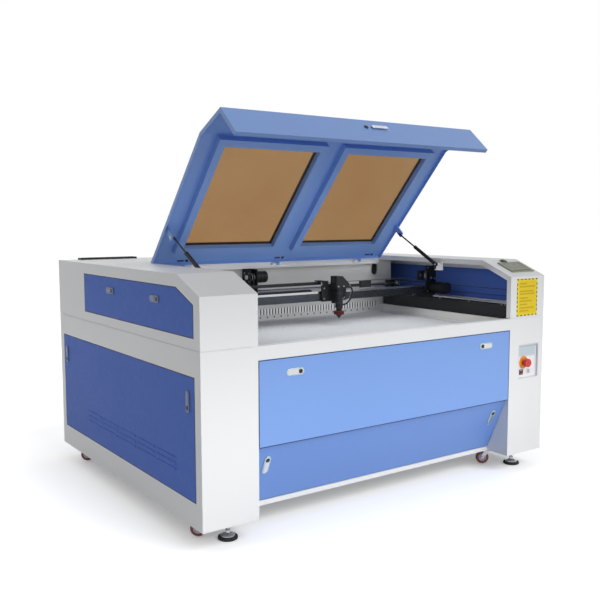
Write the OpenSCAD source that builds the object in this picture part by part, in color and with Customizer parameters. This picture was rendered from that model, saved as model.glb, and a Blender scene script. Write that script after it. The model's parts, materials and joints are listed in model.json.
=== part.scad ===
// Carbon dioxide laser cutting machine, standing on its feet with the lid of its work bay open.
// Every module works in cabinet coordinates: x from the left side, y from the front face to
// the back, z from the bottom edge of the cabinet. cab() moves them to the model's own frame.

/* [Cabinet] */
// Width of the cabinet
body_w = 1850; // [1700:10:2100]
// Depth of the cabinet
body_d = 1470; // [1440:10:1600]
// Height of the cabinet above its bottom edge
body_h = 915; // [900:5:960]
// Clear height under the cabinet
ground_gap = 80; // [74:1:95]
// Height of the upper cabinet, from its joint with the lower one to the top
upper_h = 265; // [260:1:270]
// Height of the groove along that joint
seam_gap = 3; // [2:0.5:4]
// Width of the left and of the right column
column_w = 237; // [230:1:245]
// Depth of the slanted nose of the columns and the lid
nose_d = 172; // [150:1:190]
// Height of the slanted nose
nose_h = 71; // [60:1:80]
// Thickness of the cabinet sheet
sheet_t = 2; // [1.5:0.5:3]
// Width of the folded strip round the inner mouth of a column
mouth_w = 24; // [18:1:30]
// Depth of the front rim of the work bay
rim_d = 32; // [26:1:40]
// Height of the front rim of the work bay
rim_h = 52; // [45:1:56]

/* [Panels] */
// Gap round a lift-off panel
panel_gap = 2; // [1.5:0.5:3]
// Width of the ledge that a panel rests against
ledge_w = 12; // [10:1:16]
// Depth of the folded edges on the back of a panel
tray_d = 16; // [12:1:24]
// Margin round the upper side panels
upper_margin = 47; // [42:1:52]
// Margin under the upper side panels
upper_foot = 42; // [38:1:48]
// Length of the upper side panels' opening, from the front face
upper_reach = 1122; // [1000:5:1200]
// Margin in front of and behind the lower side panels
lower_margin = 45; // [40:1:60]
// Height of the bottom edge of the lower side panels
lower_foot = 95; // [85:1:110]
// Depth of the top edge of the lower side panels under the joint between the cabinets
lower_head = 95; // [85:1:110]
// Height of the joint between the front panels
split_h = 270; // [262:1:280]
// Depth by which the lower front panel slants back
slant_d = 108; // [90:1:125]
// Set-back of its top edge behind the front face
slant_set = 13; // [10:1:16]
// Height of the bottom edge of the slanted panel
slant_foot = 22; // [20:1:30]
// Length of a flush lock
lock_l = 82; // [70:1:90]
// Width of a flush lock
lock_w = 28; // [22:1:32]
// Height of a flush lock above its panel
lock_h = 4; // [3:0.5:6]

/* [Lid] */
// Angle of the lid from shut, in degrees
lid_open = 47.8; // [40:0.1:48]
// Gap between the lid and a column
lid_gap = 5; // [4:0.5:8]
// Height of the lid's front lip
lip_h = 152; // [130:1:170]
// Distance of the hinge line behind the front face
hinge_y = 914; // [905:1:920]
// Depth of the hinge line under the top
hinge_drop = 25; // [22:0.5:28]
// Diameter of a hinge barrel
barrel_d = 12; // [10:0.5:14]
// Diameter of a hinge pin
pin_d = 6; // [5:0.5:7]
// Radial play of the hinge pins
pin_play = 0.1; // [0.05:0.01:0.1]
// Depth of the folded side edges of the lid
lid_fold = 18; // [14:1:22]
// Width of one window
window_w = 485; // [440:5:500]
// Depth of one window from front to back
window_d = 576; // [540:2:590]
// Distance of the windows behind the front face
window_y = 214; // [210:1:230]
// Width of the bar between the windows, between their openings
window_bar = 160; // [140:2:180]
// Width of a window border
border_w = 35; // [30:1:40]
// Depth of a window border
border_h = 28; // [22:1:30]
// Thickness of the window panes
pane_t = 4; // [3:0.5:6]

/* [Gas struts] */
// Distance of a strut from the column beside it
strut_in = 28; // [26:1:36]
// Distance of the lower strut pivot behind the front face
strut_y = 460; // [450:1:480]
// Distance of the upper strut pivot in front of the hinge line, lid shut
strut_arm = 229; // [220:1:232]
// Depth of the lower strut pivot under the top
strut_drop = 30; // [30:0.5:32]
// Depth of the upper strut pivot under the top, lid shut
lug_drop = 64; // [60:1:68]
// Diameter of a strut cylinder
strut_d = 18; // [15:0.5:20]
// Diameter of a strut rod
strut_rod_d = 8; // [6:0.5:10]
// Length of a strut cylinder
strut_l = 170; // [150:1:180]

/* [Work bay] */
// Distance of the bay's side walls from the cabinet sides
bay_in = 210; // [205:1:218]
// Distance of the rear bulkhead behind the front face
bulkhead_y = 950; // [945:1:960]
// Depth of the work surface under the joint between the cabinets
bed_drop = 43; // [40:1:48]
// Thickness of the honeycomb
comb_t = 20; // [16:1:24]
// Height of the slats under the honeycomb
slat_h = 20; // [16:1:24]
// Thickness of a slat
slat_t = 4; // [3:0.5:6]
// Spacing of the slats and of the holes at their ends
slat_pitch = 42; // [38:1:50]
// Width of the bed frame
frame_w = 20; // [16:1:24]
// Spacing of the exhaust slots
slot_pitch = 18; // [16:1:22]
// Width of an exhaust slot
slot_w = 9; // [7:0.5:10]
// Height of an exhaust slot
slot_h = 31; // [26:1:34]

/* [Motion] */
// Depth of the deck that carries the rails under the joint between the cabinets
deck_drop = 8; // [6:1:10]
// Distance of a rail's inner face from the cabinet side
rail_in = 200; // [196:1:203]
// Width of a rail
rail_w = 50; // [45:1:55]
// Height of a rail
rail_h = 63; // [60:1:66]
// Width of a linear guide
guide_w = 14; // [12:1:16]
// Height of a linear guide
guide_h = 12; // [10:1:14]
// Running play of the sliding blocks
slide_play = 0.3; // [0.2:0.05:0.4]
// Distance of the gantry beam's front face behind the cabinet's front face
gantry_y = 600; // [590:1:620]
// Depth of the gantry beam
beam_d = 50; // [45:1:55]
// Height of the gantry beam
beam_h = 36; // [32:1:40]
// Wall of the gantry beam
beam_wall = 4; // [3:0.5:6]
// Distance of the laser head's axis from the left side
head_x = 1037; // [900:1:1100]
// Diameter of the laser head's tube
head_d = 36; // [32:1:40]
// Height of the beam line above the deck
beam_rise = 180; // [176:1:184]
// Diameter of the drive shaft
shaft_d = 16; // [14:1:18]
// Distance of the drive shaft behind the front face
shaft_y = 905; // [900:1:908]
// Height of the drive shaft above the deck
shaft_rise = 115; // [110:1:118]
// Radius of the pulleys of the long belts
pulley_r = 15; // [14:0.5:16]
// Thickness of a toothed belt
belt_t = 1.5; // [1:0.1:2]
// Width of a toothed belt
belt_w = 12; // [9:1:13]
// Diameter of the stepper motors
motor_d = 57; // [52:1:58]

/* [Laser] */
// Diameter of the laser tube
tube_d = 80; // [70:1:84]
// Gap between the laser tube and the axis of the first mirror
tube_gap = 105; // [75:5:160]
// Distance of the laser tube behind the front face
tube_y = 1230; // [1200:5:1280]
// Diameter of the exhaust collar
exhaust_d = 150; // [120:5:170]
// Length of the exhaust collar
exhaust_l = 60; // [50:1:80]

/* [Controls] */
// Width of the switch recess in the right column
switch_w = 142; // [130:1:150]
// Height of the switch recess
switch_h = 162; // [150:1:170]
// Depth of the switch recess
switch_d = 12; // [8:1:15]
// Diameter of the emergency stop's head
stop_d = 40; // [34:1:44]
// Travel of the emergency stop
stop_travel = 6; // [4:0.5:8]
// Width of the control panel on the nose
display_w = 152; // [140:1:160]
// Length of the control panel along the nose
display_l = 102; // [90:1:110]
// Height of the control panel above the nose
display_h = 6; // [4:0.5:8]

/* [Wheels and feet] */
// Diameter of a caster wheel
wheel_d = 62; // [56:1:62]
// Width of a caster wheel
wheel_w = 24; // [20:1:26]
// Distance of a wheel's axle from its swivel line
trail = 22; // [18:1:26]
// Height of the raised wheels above the floor
wheel_lift = 4; // [2:0.5:6]
// Diameter of a levelling foot
foot_d = 76; // [70:1:80]
// Height of a foot pad
foot_h = 14; // [12:1:18]
// Diameter of a foot's screw
foot_screw = 12; // [10:1:16]

/* [Hidden] */
$fn = 64;
t = sheet_t;
white_paint = "#e6e8ea";
blue_paint = "#82a9ea";
black_metal = "#181a1e";
steel = "#b9bec4";
seam_h = body_h - upper_h;
seam_top = seam_h + seam_gap;
lower_top = seam_h - lower_head;
bed_h = seam_h - bed_drop;
deck_h = seam_h - deck_drop;
beam_line = deck_h + beam_rise;
shaft_z = deck_h + shaft_rise;
front_reach = 22;
front_y = (front_reach - body_d - exhaust_l) / 2;
left_x = column_w;
right_x = body_w - column_w;
nose_a = atan2(nose_h, nose_d);
deck_edge = hinge_y + barrel_d / 2 + 12;
lip_z = body_h - nose_h - lip_h;
hinge_z = body_h - hinge_drop;
lid_x0 = left_x + lid_gap;
lid_x1 = right_x - lid_gap;
lid_rear = hinge_y - barrel_d / 2 - 2;
lid_mid = body_w / 2;
hinge_xs = [lid_mid - 530, lid_mid, lid_mid + 530];
hinge_l = 60;
slant_top = split_h - panel_gap;
slant_y = slant_set + slant_d;
slant_a = atan2(slant_d, slant_top - slant_foot);
slant_l = norm([slant_d, slant_top - slant_foot]);
strut_z = body_h - strut_drop;
strut_top_y = hinge_y - strut_arm;
arm_dy = strut_top_y - hinge_y;
lug_z = body_h - lug_drop;
arm_dz = lug_z - hinge_z;
strut_end_y = hinge_y + arm_dy * cos(lid_open) + arm_dz * sin(lid_open);
strut_end_z = hinge_z - arm_dy * sin(lid_open) + arm_dz * cos(lid_open);
strut_a = atan2(strut_end_z - strut_z, strut_end_y - strut_y);
strut_len = norm([strut_end_y - strut_y, strut_end_z - strut_z]);
bay_x0 = bay_in;
bay_x1 = body_w - bay_in;
slat_z = bed_h - comb_t - slat_h;
bay_ledge = 45;
trough_z = bed_h - 277;
trough_y0 = 430;
trough_y1 = 560;
rail_top = deck_h + rail_h;
guide_top = rail_top + guide_h;
rail_front = 60;
rail_back = bulkhead_y - 20;
block_z = guide_top + 7;
block_l = 100;
beam_z = block_z;
beam_top = beam_z + beam_h;
belt_gap = 27;
belt_line = beam_top + belt_gap + 11;
x_pulley_r = 9.5;
belt_y = gantry_y + 22;
head_y = gantry_y - 50;
mirror_x = body_w - rail_in - 45;
belt_x = rail_in - rail_w - 24 - belt_w;
y_motor_x0 = 742;
y_motor_x1 = 785;
y_motor_l = 62;
idler_y = 85;
idler_t = 14;
idler_foot = 6;
tube_z = beam_line;
exhaust_z = seam_top + exhaust_d / 2 + 45;
tube_x0 = 100;
tube_l = mirror_x - tube_gap - tube_x0;
stop_x = body_w - 126;
stop_face = switch_d + front_reach;
switch_x0 = body_w - 173;
switch_z0 = seam_h - 290;
stop_z = switch_z0 + 75;
foot_xs = [151, body_w - 103];
foot_ys = [87, body_d - 87];
caster_xs = [86, body_w - 208];
caster_ys = [151, body_d - 151];
caster_turn = 143;
axle_z = wheel_lift + wheel_d / 2 - ground_gap;

// ---------- helpers ----------

module cab() {
    translate([-body_w / 2, front_y, ground_gap]) children();
}

module slab(low, high) {
    translate(low) cube(high - low);
}

module both_sides() {
    children();
    translate([body_w, 0, 0]) mirror([1, 0, 0]) children();
}

// A drawing in the y-z plane, made thick from x0 to x1
module along_x(x0, x1) {
    translate([x0, 0, 0]) rotate([90, 0, 90]) linear_extrude(x1 - x0) children();
}

// A drawing in the x-z plane, made thick from y0 to y1
module along_y(y0, y1) {
    translate([0, y1, 0]) rotate([90, 0, 0]) linear_extrude(y1 - y0) children();
}

// Rectangle from low to high, smaller by inset all round
module frame_rect(low, high, inset = 0) {
    translate(low + [inset, inset]) square(high - low - [2 * inset, 2 * inset]);
}

// Side outline with the slanted nose at its front top, smaller by inset all round
function nosed(y0, y1, z0, z1, inset = 0) = [
    [y0 + inset, z0 + inset],
    [y1 - inset, z0 + inset],
    [y1 - inset, z1 - inset],
    [y0 + nose_d + inset * tan(nose_a / 2), z1 - inset],
    [y0 + inset, z1 - nose_h - inset * tan((90 - nose_a) / 2)]
];

function upper_opening(inset) = nosed(
    0, upper_reach + upper_margin, seam_h + upper_foot - upper_margin, body_h,
    upper_margin + inset);

// Rounded bar outline, centred on the origin, long along the first axis
module stadium(length, width) {
    square([length - width, width], center = true);
    for (side = [-1, 1]) translate([side * (length - width) / 2, 0]) circle(d = width);
}

// Turns shut-lid coordinates into open-lid ones
module opened() {
    translate([0, hinge_y, hinge_z]) rotate([-lid_open, 0, 0])
        translate([0, -hinge_y, -hinge_z]) children();
}

// Coordinates on the slanted front panel: x as before, y into the cabinet, z up the slant
module slanted() {
    translate([0, slant_y, slant_foot]) rotate([slant_a, 0, 0]) children();
}

// ---------- cabinet ----------

// Ledge round a panel opening, drawn in the plane of the wall
module ledge_rect(low, high) {
    difference() {
        frame_rect(low, high, -ledge_w);
        frame_rect(low, high, ledge_w);
    }
}

lower_side_low = [lower_margin, lower_foot];
lower_side_high = [body_d - lower_margin, lower_top];
front_low = [left_x, split_h];
front_high = [right_x, seam_h - rim_h];
rear_low = [lower_margin + 55, lower_foot];
rear_high = [body_w - lower_margin - 55, lower_top];
cheek_top = slat_z - 20;
cheek_d = 200;
hopper_fall = (slat_z - 2 * t - trough_z) / (trough_y0 - rim_d);
cheek_low = slat_z - 2 * t - hopper_fall * (cheek_d - rim_d) - 3;
notch_w = 59;
notch_h = 14;

module lower_side() {
    difference() {
        along_x(0, t) frame_rect([0, 0], [body_d, seam_h]);
        along_x(-1, t + 1) frame_rect(lower_side_low, lower_side_high);
    }
    along_x(t, 2 * t) ledge_rect(lower_side_low, lower_side_high);
    slab([0, 0, 0], [column_w, t, seam_h]);
    along_x(column_w - t, column_w) polygon([
        [0, 0], [cheek_d, 0], [cheek_d, cheek_low], [rim_d, cheek_top], [0, cheek_top]]);
    slab([0, 0, seam_h - t], [30, body_d, seam_h]);
    slab([0, 0, seam_h - t], [column_w, 25, seam_h]);
    slab([0, 0, 0], [column_w, slant_y + t, t]);
}

module lower_cabinet() {
    cab() color(white_paint) difference() {
        union() {
            both_sides() lower_side();
            difference() {
                slab([0, body_d - t, 0], [body_w, body_d, seam_h]);
                along_y(body_d - t - 1, body_d + 1) frame_rect(rear_low, rear_high);
            }
            along_y(body_d - 2 * t, body_d - t) ledge_rect(rear_low, rear_high);
            slab([0, body_d - 30, seam_h - t], [body_w, body_d, seam_h]);
            slab([0, slant_y, 0], [body_w, body_d, t]);
            slab([left_x, slant_y, 0], [right_x, slant_y + t, slant_foot - panel_gap]);
            // front rim: a channel over the front panel
            slab([left_x, 0, seam_h - rim_h], [right_x, t, seam_h]);
            slab([left_x, 0, seam_h - t], [right_x, rim_d, seam_h]);
            slab([left_x, rim_d - t, seam_h - rim_h], [right_x, rim_d, seam_h]);
            // ledge of the upper front panel, open along the split under it
            difference() {
                along_y(t, 2 * t) ledge_rect(front_low, front_high);
                slab([left_x, 0, split_h - ledge_w - 1], [right_x, 3 * t, split_h + panel_gap]);
            }
            // ledges behind the slanted panel, from cheek to cheek
            slanted() {
                slab([left_x - t, t, 0], [right_x + t, 2 * t, ledge_w]);
                slab([left_x - t, t, slant_l - 2 * ledge_w], [right_x + t, 2 * t, slant_l - ledge_w]);
            }
        }
        // step in the bottom edge of the left column
        slab([column_w - notch_w, -1, -1], [column_w + 1, t + 1, notch_h]);
        // switch recess in the front of the right column
        along_y(-1, t + 1) frame_rect([switch_x0, switch_z0], [switch_x0 + switch_w, switch_z0 + switch_h]);
    }
}

// Bottom edge of the upper cabinet, set back by the groove: a folded step along x
module step_x(x0, x1, y_front, side) {
    slab([x0, min(y_front, y_front + side * (seam_gap + t)), seam_top],
         [x1, max(y_front, y_front + side * (seam_gap + t)), seam_top + t]);
    slab([x0, min(y_front + side * seam_gap, y_front + side * (seam_gap + t)), seam_h],
         [x1, max(y_front + side * seam_gap, y_front + side * (seam_gap + t)), seam_top + t]);
}

hatch_low = [120, 1010];
hatch_high = [body_w - 120, body_d - 75];
vent_low = [100, body_d - 55];
vent_high = [380, body_d - 15];

module upper_side() {
    // outer wall with the opening for its panel
    difference() {
        along_x(0, t) polygon(nosed(0, body_d, seam_top, body_h));
        along_x(-1, t + 1) polygon(upper_opening(0));
    }
    difference() {
        along_x(t, 2 * t) polygon(upper_opening(-ledge_w));
        along_x(t - 1, 2 * t + 1) polygon(upper_opening(ledge_w));
    }
    slab([0, seam_gap, seam_top], [seam_gap + t, body_d - seam_gap, seam_top + t]);
    slab([seam_gap, seam_gap, seam_h], [seam_gap + t, body_d - seam_gap, seam_top + t]);
    // front, nose and top of the column
    difference() {
        along_x(0, column_w) polygon(nosed(0, deck_edge, seam_top, body_h));
        along_x(-1, column_w + 1) polygon(nosed(0, deck_edge + 9 * t, seam_top - 9 * t, body_h, t));
    }
    step_x(seam_gap, column_w, 0, 1);
    // inner mouth of the column
    difference() {
        along_x(column_w - t, column_w) polygon(nosed(0, deck_edge, seam_top, body_h));
        along_x(column_w - t - 1, column_w + 1)
            polygon(nosed(0, deck_edge + 2 * mouth_w, seam_h - 2 * mouth_w, body_h, mouth_w));
    }
    // bracket for the lower end of the gas strut
    slab([column_w - t, strut_y - 22, strut_z - 30], [column_w + 2, strut_y + 22, body_h - mouth_w + 8]);
    slab([column_w, strut_y - 22, strut_z - 30], [column_w + 12, strut_y + 22, strut_z - 26]);
    translate([column_w, strut_y, strut_z]) rotate([0, 90, 0]) cylinder(d = 8, h = strut_in + 5);
}

module upper_cabinet() {
    cab() color(white_paint) {
        both_sides() upper_side();
        // rear deck with the hatch opening and a vent
        difference() {
            slab([0, deck_edge, body_h - t], [body_w, body_d, body_h]);
            slab(concat(hatch_low, [body_h - t - 1]), concat(hatch_high, [body_h + 1]));
            slab(concat(vent_low, [body_h - t - 1]), concat(vent_high, [body_h + 1]));
        }
        translate([0, 0, body_h - 2 * t]) linear_extrude(t) ledge_rect(hatch_low, hatch_high);
        difference() {
            slab([0, body_d - t, seam_top], [body_w, body_d, body_h]);
            translate([body_w / 2, body_d - t - 1, exhaust_z]) rotate([-90, 0, 0])
                cylinder(d = exhaust_d - 4, h = t + 2);
        }
        step_x(seam_gap, body_w - seam_gap, body_d, -1);
        // rail that carries the hinges
        slab([left_x - t, deck_edge, body_h - 45], [right_x + t, deck_edge + t, body_h]);
    }
}

// Lift-off panel in a wall that is normal to x, drawn for the left side
module side_panel_lower() {
    along_x(0, t) frame_rect(lower_side_low, lower_side_high, panel_gap);
    difference() {
        along_x(0, tray_d) frame_rect(lower_side_low, lower_side_high, ledge_w + panel_gap);
        along_x(-1, tray_d + 1) frame_rect(lower_side_low, lower_side_high, ledge_w + panel_gap + t);
    }
}

module side_panel_upper() {
    along_x(0, t) polygon(upper_opening(panel_gap));
    difference() {
        along_x(0, tray_d) polygon(upper_opening(ledge_w + panel_gap));
        along_x(-1, tray_d + 1) polygon(upper_opening(ledge_w + panel_gap + t));
    }
}

// Row of raised louvres in the lower side panels
louvre_h = 8;
louvre_y0 = 205;
louvre_l = 160;
louvre_step = 185;
louvre_z = 178;

module louvres() {
    for (column = [0 : 4], row = [0 : 2])
        translate([0, louvre_y0 + column * louvre_step, louvre_z + row * 22])
            along_x(-2, 0.5) frame_rect([0, 0], [louvre_l, louvre_h]);
}

module left_lower_panel() {
    cab() color(blue_paint) {
        side_panel_lower();
        louvres();
    }
}

module right_lower_panel() {
    cab() color(blue_paint) translate([body_w, 0, 0]) mirror([1, 0, 0]) {
        side_panel_lower();
        louvres();
        lower_side_locks();
    }
}

module left_upper_panel() {
    cab() color(blue_paint) side_panel_upper();
}

module right_upper_panel() {
    cab() color(blue_paint) translate([body_w, 0, 0]) mirror([1, 0, 0]) {
        side_panel_upper();
        upper_side_locks();
    }
}

module front_upper_panel() {
    cab() color(blue_paint) {
        along_y(0, t) frame_rect(front_low, front_high, panel_gap);
        difference() {
            along_y(0, tray_d) frame_rect(front_low, front_high, ledge_w + panel_gap);
            along_y(-1, tray_d + 1) frame_rect(front_low, front_high, ledge_w + panel_gap + t);
        }
    }
}

module front_lower_panel() {
    cab() color(blue_paint) slanted() {
        slab([left_x + panel_gap, 0, 0], [right_x - panel_gap, t, slant_l]);
        for (z = [ledge_w + 10, slant_l - 2 * ledge_w - panel_gap - t])
            slab([left_x + 40, 0, z], [right_x - 40, tray_d, z + t]);
    }
}

module rear_panel() {
    cab() color(blue_paint) {
        along_y(body_d - t, body_d) frame_rect(rear_low, rear_high, panel_gap);
        difference() {
            along_y(body_d - tray_d, body_d) frame_rect(rear_low, rear_high, ledge_w + panel_gap);
            along_y(body_d - tray_d - 1, body_d + 1)
                frame_rect(rear_low, rear_high, ledge_w + panel_gap + t);
        }
    }
}

// Flush lock: a rounded bar with a raised key barrel near one end, on the plane y = 0
module flush_lock() {
    along_y(-lock_h, 0) stadium(lock_l, lock_w);
    translate([lock_l / 4, -lock_h, 0]) rotate([90, 0, 0]) cylinder(d = lock_w * 0.5, h = 1.5);
}

module front_upper_locks() {
    cab() color(steel) {
        for (x = [400, body_w - 400]) translate([x, 0, front_high[1] - 58])
            mirror([x > lid_mid ? 1 : 0, 0, 0]) flush_lock();
    }
}

module front_lower_locks() {
    cab() color(steel) slanted() {
        for (x = [left_x + 62, right_x - 62])
            translate([x, 0, slant_l - 90]) rotate([0, 90, 0]) flush_lock();
    }
}

module upper_side_locks() {
    for (y = [363, 808]) translate([0, y, body_h - 105]) rotate([0, 0, -90]) flush_lock();
}

module lower_side_locks() {
    for (y = [98, body_d - 92])
        translate([0, y, lower_top - 95]) rotate([0, 0, -90]) rotate([0, 90, 0]) flush_lock();
}

module left_upper_locks() {
    cab() color(steel) upper_side_locks();
}

module left_lower_locks() {
    cab() color(steel) lower_side_locks();
}

module rear_hatch() {
    cab() color(white_paint) {
        translate([0, 0, body_h - t]) linear_extrude(t) frame_rect(hatch_low, hatch_high, panel_gap);
        translate([0, 0, body_h - tray_d]) linear_extrude(tray_d) difference() {
            frame_rect(hatch_low, hatch_high, ledge_w + panel_gap);
            frame_rect(hatch_low, hatch_high, ledge_w + panel_gap + t);
        }
        translate([body_w / 2, hatch_low[1] + 45, body_h]) linear_extrude(lock_h) stadium(lock_l, lock_w);
    }
}

// ---------- lid ----------

function window_x(side) = lid_mid + (side < 0 ? -window_bar / 2 - window_w : window_bar / 2);
pane_lip = 12;

// One window's outline seen from above, larger by grow all round
module window_rect(side, grow = 0) {
    frame_rect([window_x(side), window_y], [window_x(side) + window_w, window_y + window_d], -grow);
}

module lid_shell() {
    cab() color(blue_paint) opened() {
        difference() {
            along_x(lid_x0, lid_x1) polygon(nosed(0, lid_rear, lip_z, body_h));
            along_x(lid_x0 - 1, lid_x1 + 1)
                polygon(nosed(0, lid_rear + 9 * t, lip_z - 9 * t, body_h, t));
            translate([0, 0, body_h - 2 * t]) linear_extrude(4 * t)
                for (side = [-1, 1]) window_rect(side, -pane_lip);
        }
        // folded side edges
        for (x = [lid_x0, lid_x1 - t]) difference() {
            along_x(x, x + t) polygon(nosed(0, lid_rear, lip_z, body_h));
            along_x(x - 1, x + t + 1)
                polygon(nosed(0, lid_rear + 3 * lid_fold, lip_z - 3 * lid_fold, body_h, lid_fold));
        }
        // folded edge of the lip and of the rear
        slab([lid_x0, 0, lip_z], [lid_x1, lid_fold, lip_z + t]);
        slab([lid_x0, lid_rear - t, body_h - lid_fold], [lid_x1, lid_rear, body_h]);
        // raised borders round the windows
        for (side = [-1, 1]) difference() {
            translate([0, 0, body_h - t - border_h]) linear_extrude(border_h + t / 2) difference() {
                window_rect(side, border_w);
                window_rect(side);
            }
            translate([0, 0, body_h - border_h]) linear_extrude(border_h - t) difference() {
                window_rect(side, border_w - t);
                window_rect(side, t);
            }
        }
        // hinge knuckles in the middle of each hinge, with their leaves
        for (x = hinge_xs) difference() {
            union() {
                translate([x - hinge_l / 6, hinge_y, hinge_z]) rotate([0, 90, 0])
                    cylinder(d = barrel_d, h = hinge_l / 3);
                slab([x - hinge_l / 6, lid_rear - t, hinge_z - barrel_d / 2],
                     [x + hinge_l / 6, hinge_y, hinge_z - barrel_d / 2 + t]);
                slab([x - hinge_l / 6, lid_rear - t, hinge_z - barrel_d / 2],
                     [x + hinge_l / 6, lid_rear, body_h - lid_fold + 1]);
            }
            translate([x - hinge_l / 2, hinge_y, hinge_z]) rotate([0, 90, 0])
                cylinder(d = pin_d + 2 * pin_play, h = hinge_l);
        }
        // lugs beside the upper ends of the gas struts
        for (x = [left_x + strut_in - 13.3, right_x - strut_in + 5.3])
            slab([x, strut_top_y - 14, lug_z - 8], [x + 8, strut_top_y + 14, body_h - t]);
    }
}

module lid_windows() {
    cab() color("#99774f", 0.75) opened()
        translate([0, 0, body_h - t - pane_t]) linear_extrude(pane_t)
            for (side = [-1, 1]) window_rect(side, -0.5);
}

handle_x = lid_mid + 78;

module lid_handle() {
    cab() color(steel) opened() translate([0, 0, body_h - nose_h - 52]) {
        translate([handle_x - 73, 0, 0]) rotate([90, 0, 0]) cylinder(d = 20, h = lock_h);
        translate([handle_x - 73, 1, 0]) rotate([-90, 0, 0]) translate([0, 0, t - 1]) cylinder(d = 16, h = 18);
        translate([handle_x, 0, 0]) along_y(-8, -5) stadium(90, 18);
        for (x = [-30, 30]) translate([handle_x + x, 0, 0]) rotate([90, 0, 0]) cylinder(d = 8, h = 6);
    }
}

module lid_hinges() {
    cab() color(steel) for (x = hinge_xs) {
        translate([x - hinge_l / 2, hinge_y, hinge_z]) rotate([0, 90, 0]) cylinder(d = pin_d, h = hinge_l);
        for (end = [-hinge_l / 2, hinge_l / 6 + slide_play])
            translate([x + end, hinge_y, hinge_z]) rotate([0, 90, 0])
                cylinder(d = barrel_d, h = hinge_l / 3 - slide_play);
        for (end = [-hinge_l / 2, hinge_l / 6 + slide_play])
            slab([x + end, hinge_y, hinge_z - barrel_d / 2],
                 [x + end + hinge_l / 3 - slide_play, deck_edge, hinge_z - barrel_d / 2 + t]);
    }
}

// A strut along its own length from its lower pivot, with its two parts
module strut_frame(x) {
    translate([x, strut_y, strut_z]) rotate([strut_a, 0, 0]) children();
}

module strut_cylinder(x) {
    cab() color(black_metal) strut_frame(x) difference() {
        union() {
            rotate([-90, 0, 0]) translate([0, 0, 9]) cylinder(d = strut_d, h = strut_l - 9);
            rotate([0, 90, 0]) translate([0, 0, -5]) cylinder(d = 20, h = 10);
        }
        rotate([0, 90, 0]) translate([0, 0, -6]) cylinder(d = 8 + 2 * pin_play, h = 12);
        rotate([-90, 0, 0]) translate([0, 0, strut_l - 100]) cylinder(d = strut_rod_d + 2 * slide_play, h = 101);
    }
}

module strut_rod(x) {
    cab() color(black_metal) strut_frame(x) {
        rotate([-90, 0, 0]) translate([0, 0, strut_l - 15]) cylinder(d = strut_rod_d, h = strut_len - strut_l + 15);
        translate([-5, strut_len, 0]) rotate([0, 90, 0]) cylinder(d = 9, h = 10);
    }
}

module left_strut_cylinder() { strut_cylinder(left_x + strut_in); }
module left_strut_rod() { strut_rod(left_x + strut_in); }
module right_strut_cylinder() { strut_cylinder(right_x - strut_in); }
module right_strut_rod() { strut_rod(right_x - strut_in); }

// ---------- work bay ----------

module bay_liner() {
    cab() color("#d9dbdd") {
        // side walls
        both_sides() along_x(bay_x0 - t, bay_x0) polygon([
            [rim_d, deck_h], [rim_d, slat_z - t], [trough_y0, trough_z], [trough_y1, trough_z],
            [bulkhead_y, slat_z - t], [bulkhead_y, deck_h]]);
        // front wall, slopes and trough
        slab([bay_x0 - t, rim_d, slat_z - t], [bay_x1 + t, rim_d + t, seam_h - t]);
        along_x(bay_x0 - t, bay_x1 + t) polygon([
            [rim_d, slat_z - 2 * t], [rim_d, slat_z], [trough_y0, trough_z + 2 * t],
            [trough_y0, trough_z]]);
        along_x(bay_x0 - t, bay_x1 + t) polygon([
            [trough_y0, trough_z], [trough_y0, trough_z + 2 * t], [trough_y1, trough_z + 2 * t],
            [trough_y1, trough_z]]);
        along_x(bay_x0 - t, bay_x1 + t) polygon([
            [bulkhead_y, slat_z - 2 * t], [bulkhead_y, slat_z], [trough_y1, trough_z + 2 * t],
            [trough_y1, trough_z]]);
        // ledge that carries the bed
        difference() {
            slab([bay_x0 - t, rim_d, slat_z - t], [bay_x1 + t, bulkhead_y + t, slat_z]);
            slab([bay_x0 + bay_ledge, rim_d + bay_ledge, slat_z - t - 1],
                 [bay_x1 - bay_ledge, bulkhead_y - bay_ledge, slat_z + 1]);
        }
        // decks under the rails, out to the cabinet sides
        both_sides() {
            slab([t, t, deck_h - t], [bay_x0, bulkhead_y + 30, deck_h]);
            slab([t, t, deck_h - 30], [2 * t, bulkhead_y + 30, deck_h]);
        }
        // shelf behind the bulkhead, from side to side
        slab([t, bulkhead_y + t, deck_h - t], [body_w - t, bulkhead_y + 30, deck_h]);
    }
}

beam_slot_x = mirror_x - 8;

module rear_bulkhead() {
    cab() color("#c9cccf") difference() {
        union() {
            slab([130, bulkhead_y, deck_h], [body_w - 130, bulkhead_y + t, body_h - t]);
            slab([bay_x0, bulkhead_y, slat_z], [bay_x1, bulkhead_y + t, deck_h]);
            slab([130, bulkhead_y, body_h - t - 20], [body_w - 130, bulkhead_y + 20, body_h - t]);
        }
        translate([beam_slot_x, 0, beam_line + 17]) along_y(bulkhead_y - 1, bulkhead_y + 21)
            rotate([0, 0, 90]) stadium(66, 40);
        // exhaust slots and the row of holes under them
        for (x = [bay_x0 + 40 : slot_pitch : bay_x1 - 40])
            slab([x, bulkhead_y - 1, bed_h + 22], [x + slot_w, bulkhead_y + t + 1, bed_h + 22 + slot_h]);
        for (x = [bay_x0 + 45 : slat_pitch : bay_x1 - 45])
            slab([x, bulkhead_y - 1, bed_h + 6], [x + 7, bulkhead_y + t + 1, bed_h + 14]);
    }
}

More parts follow.
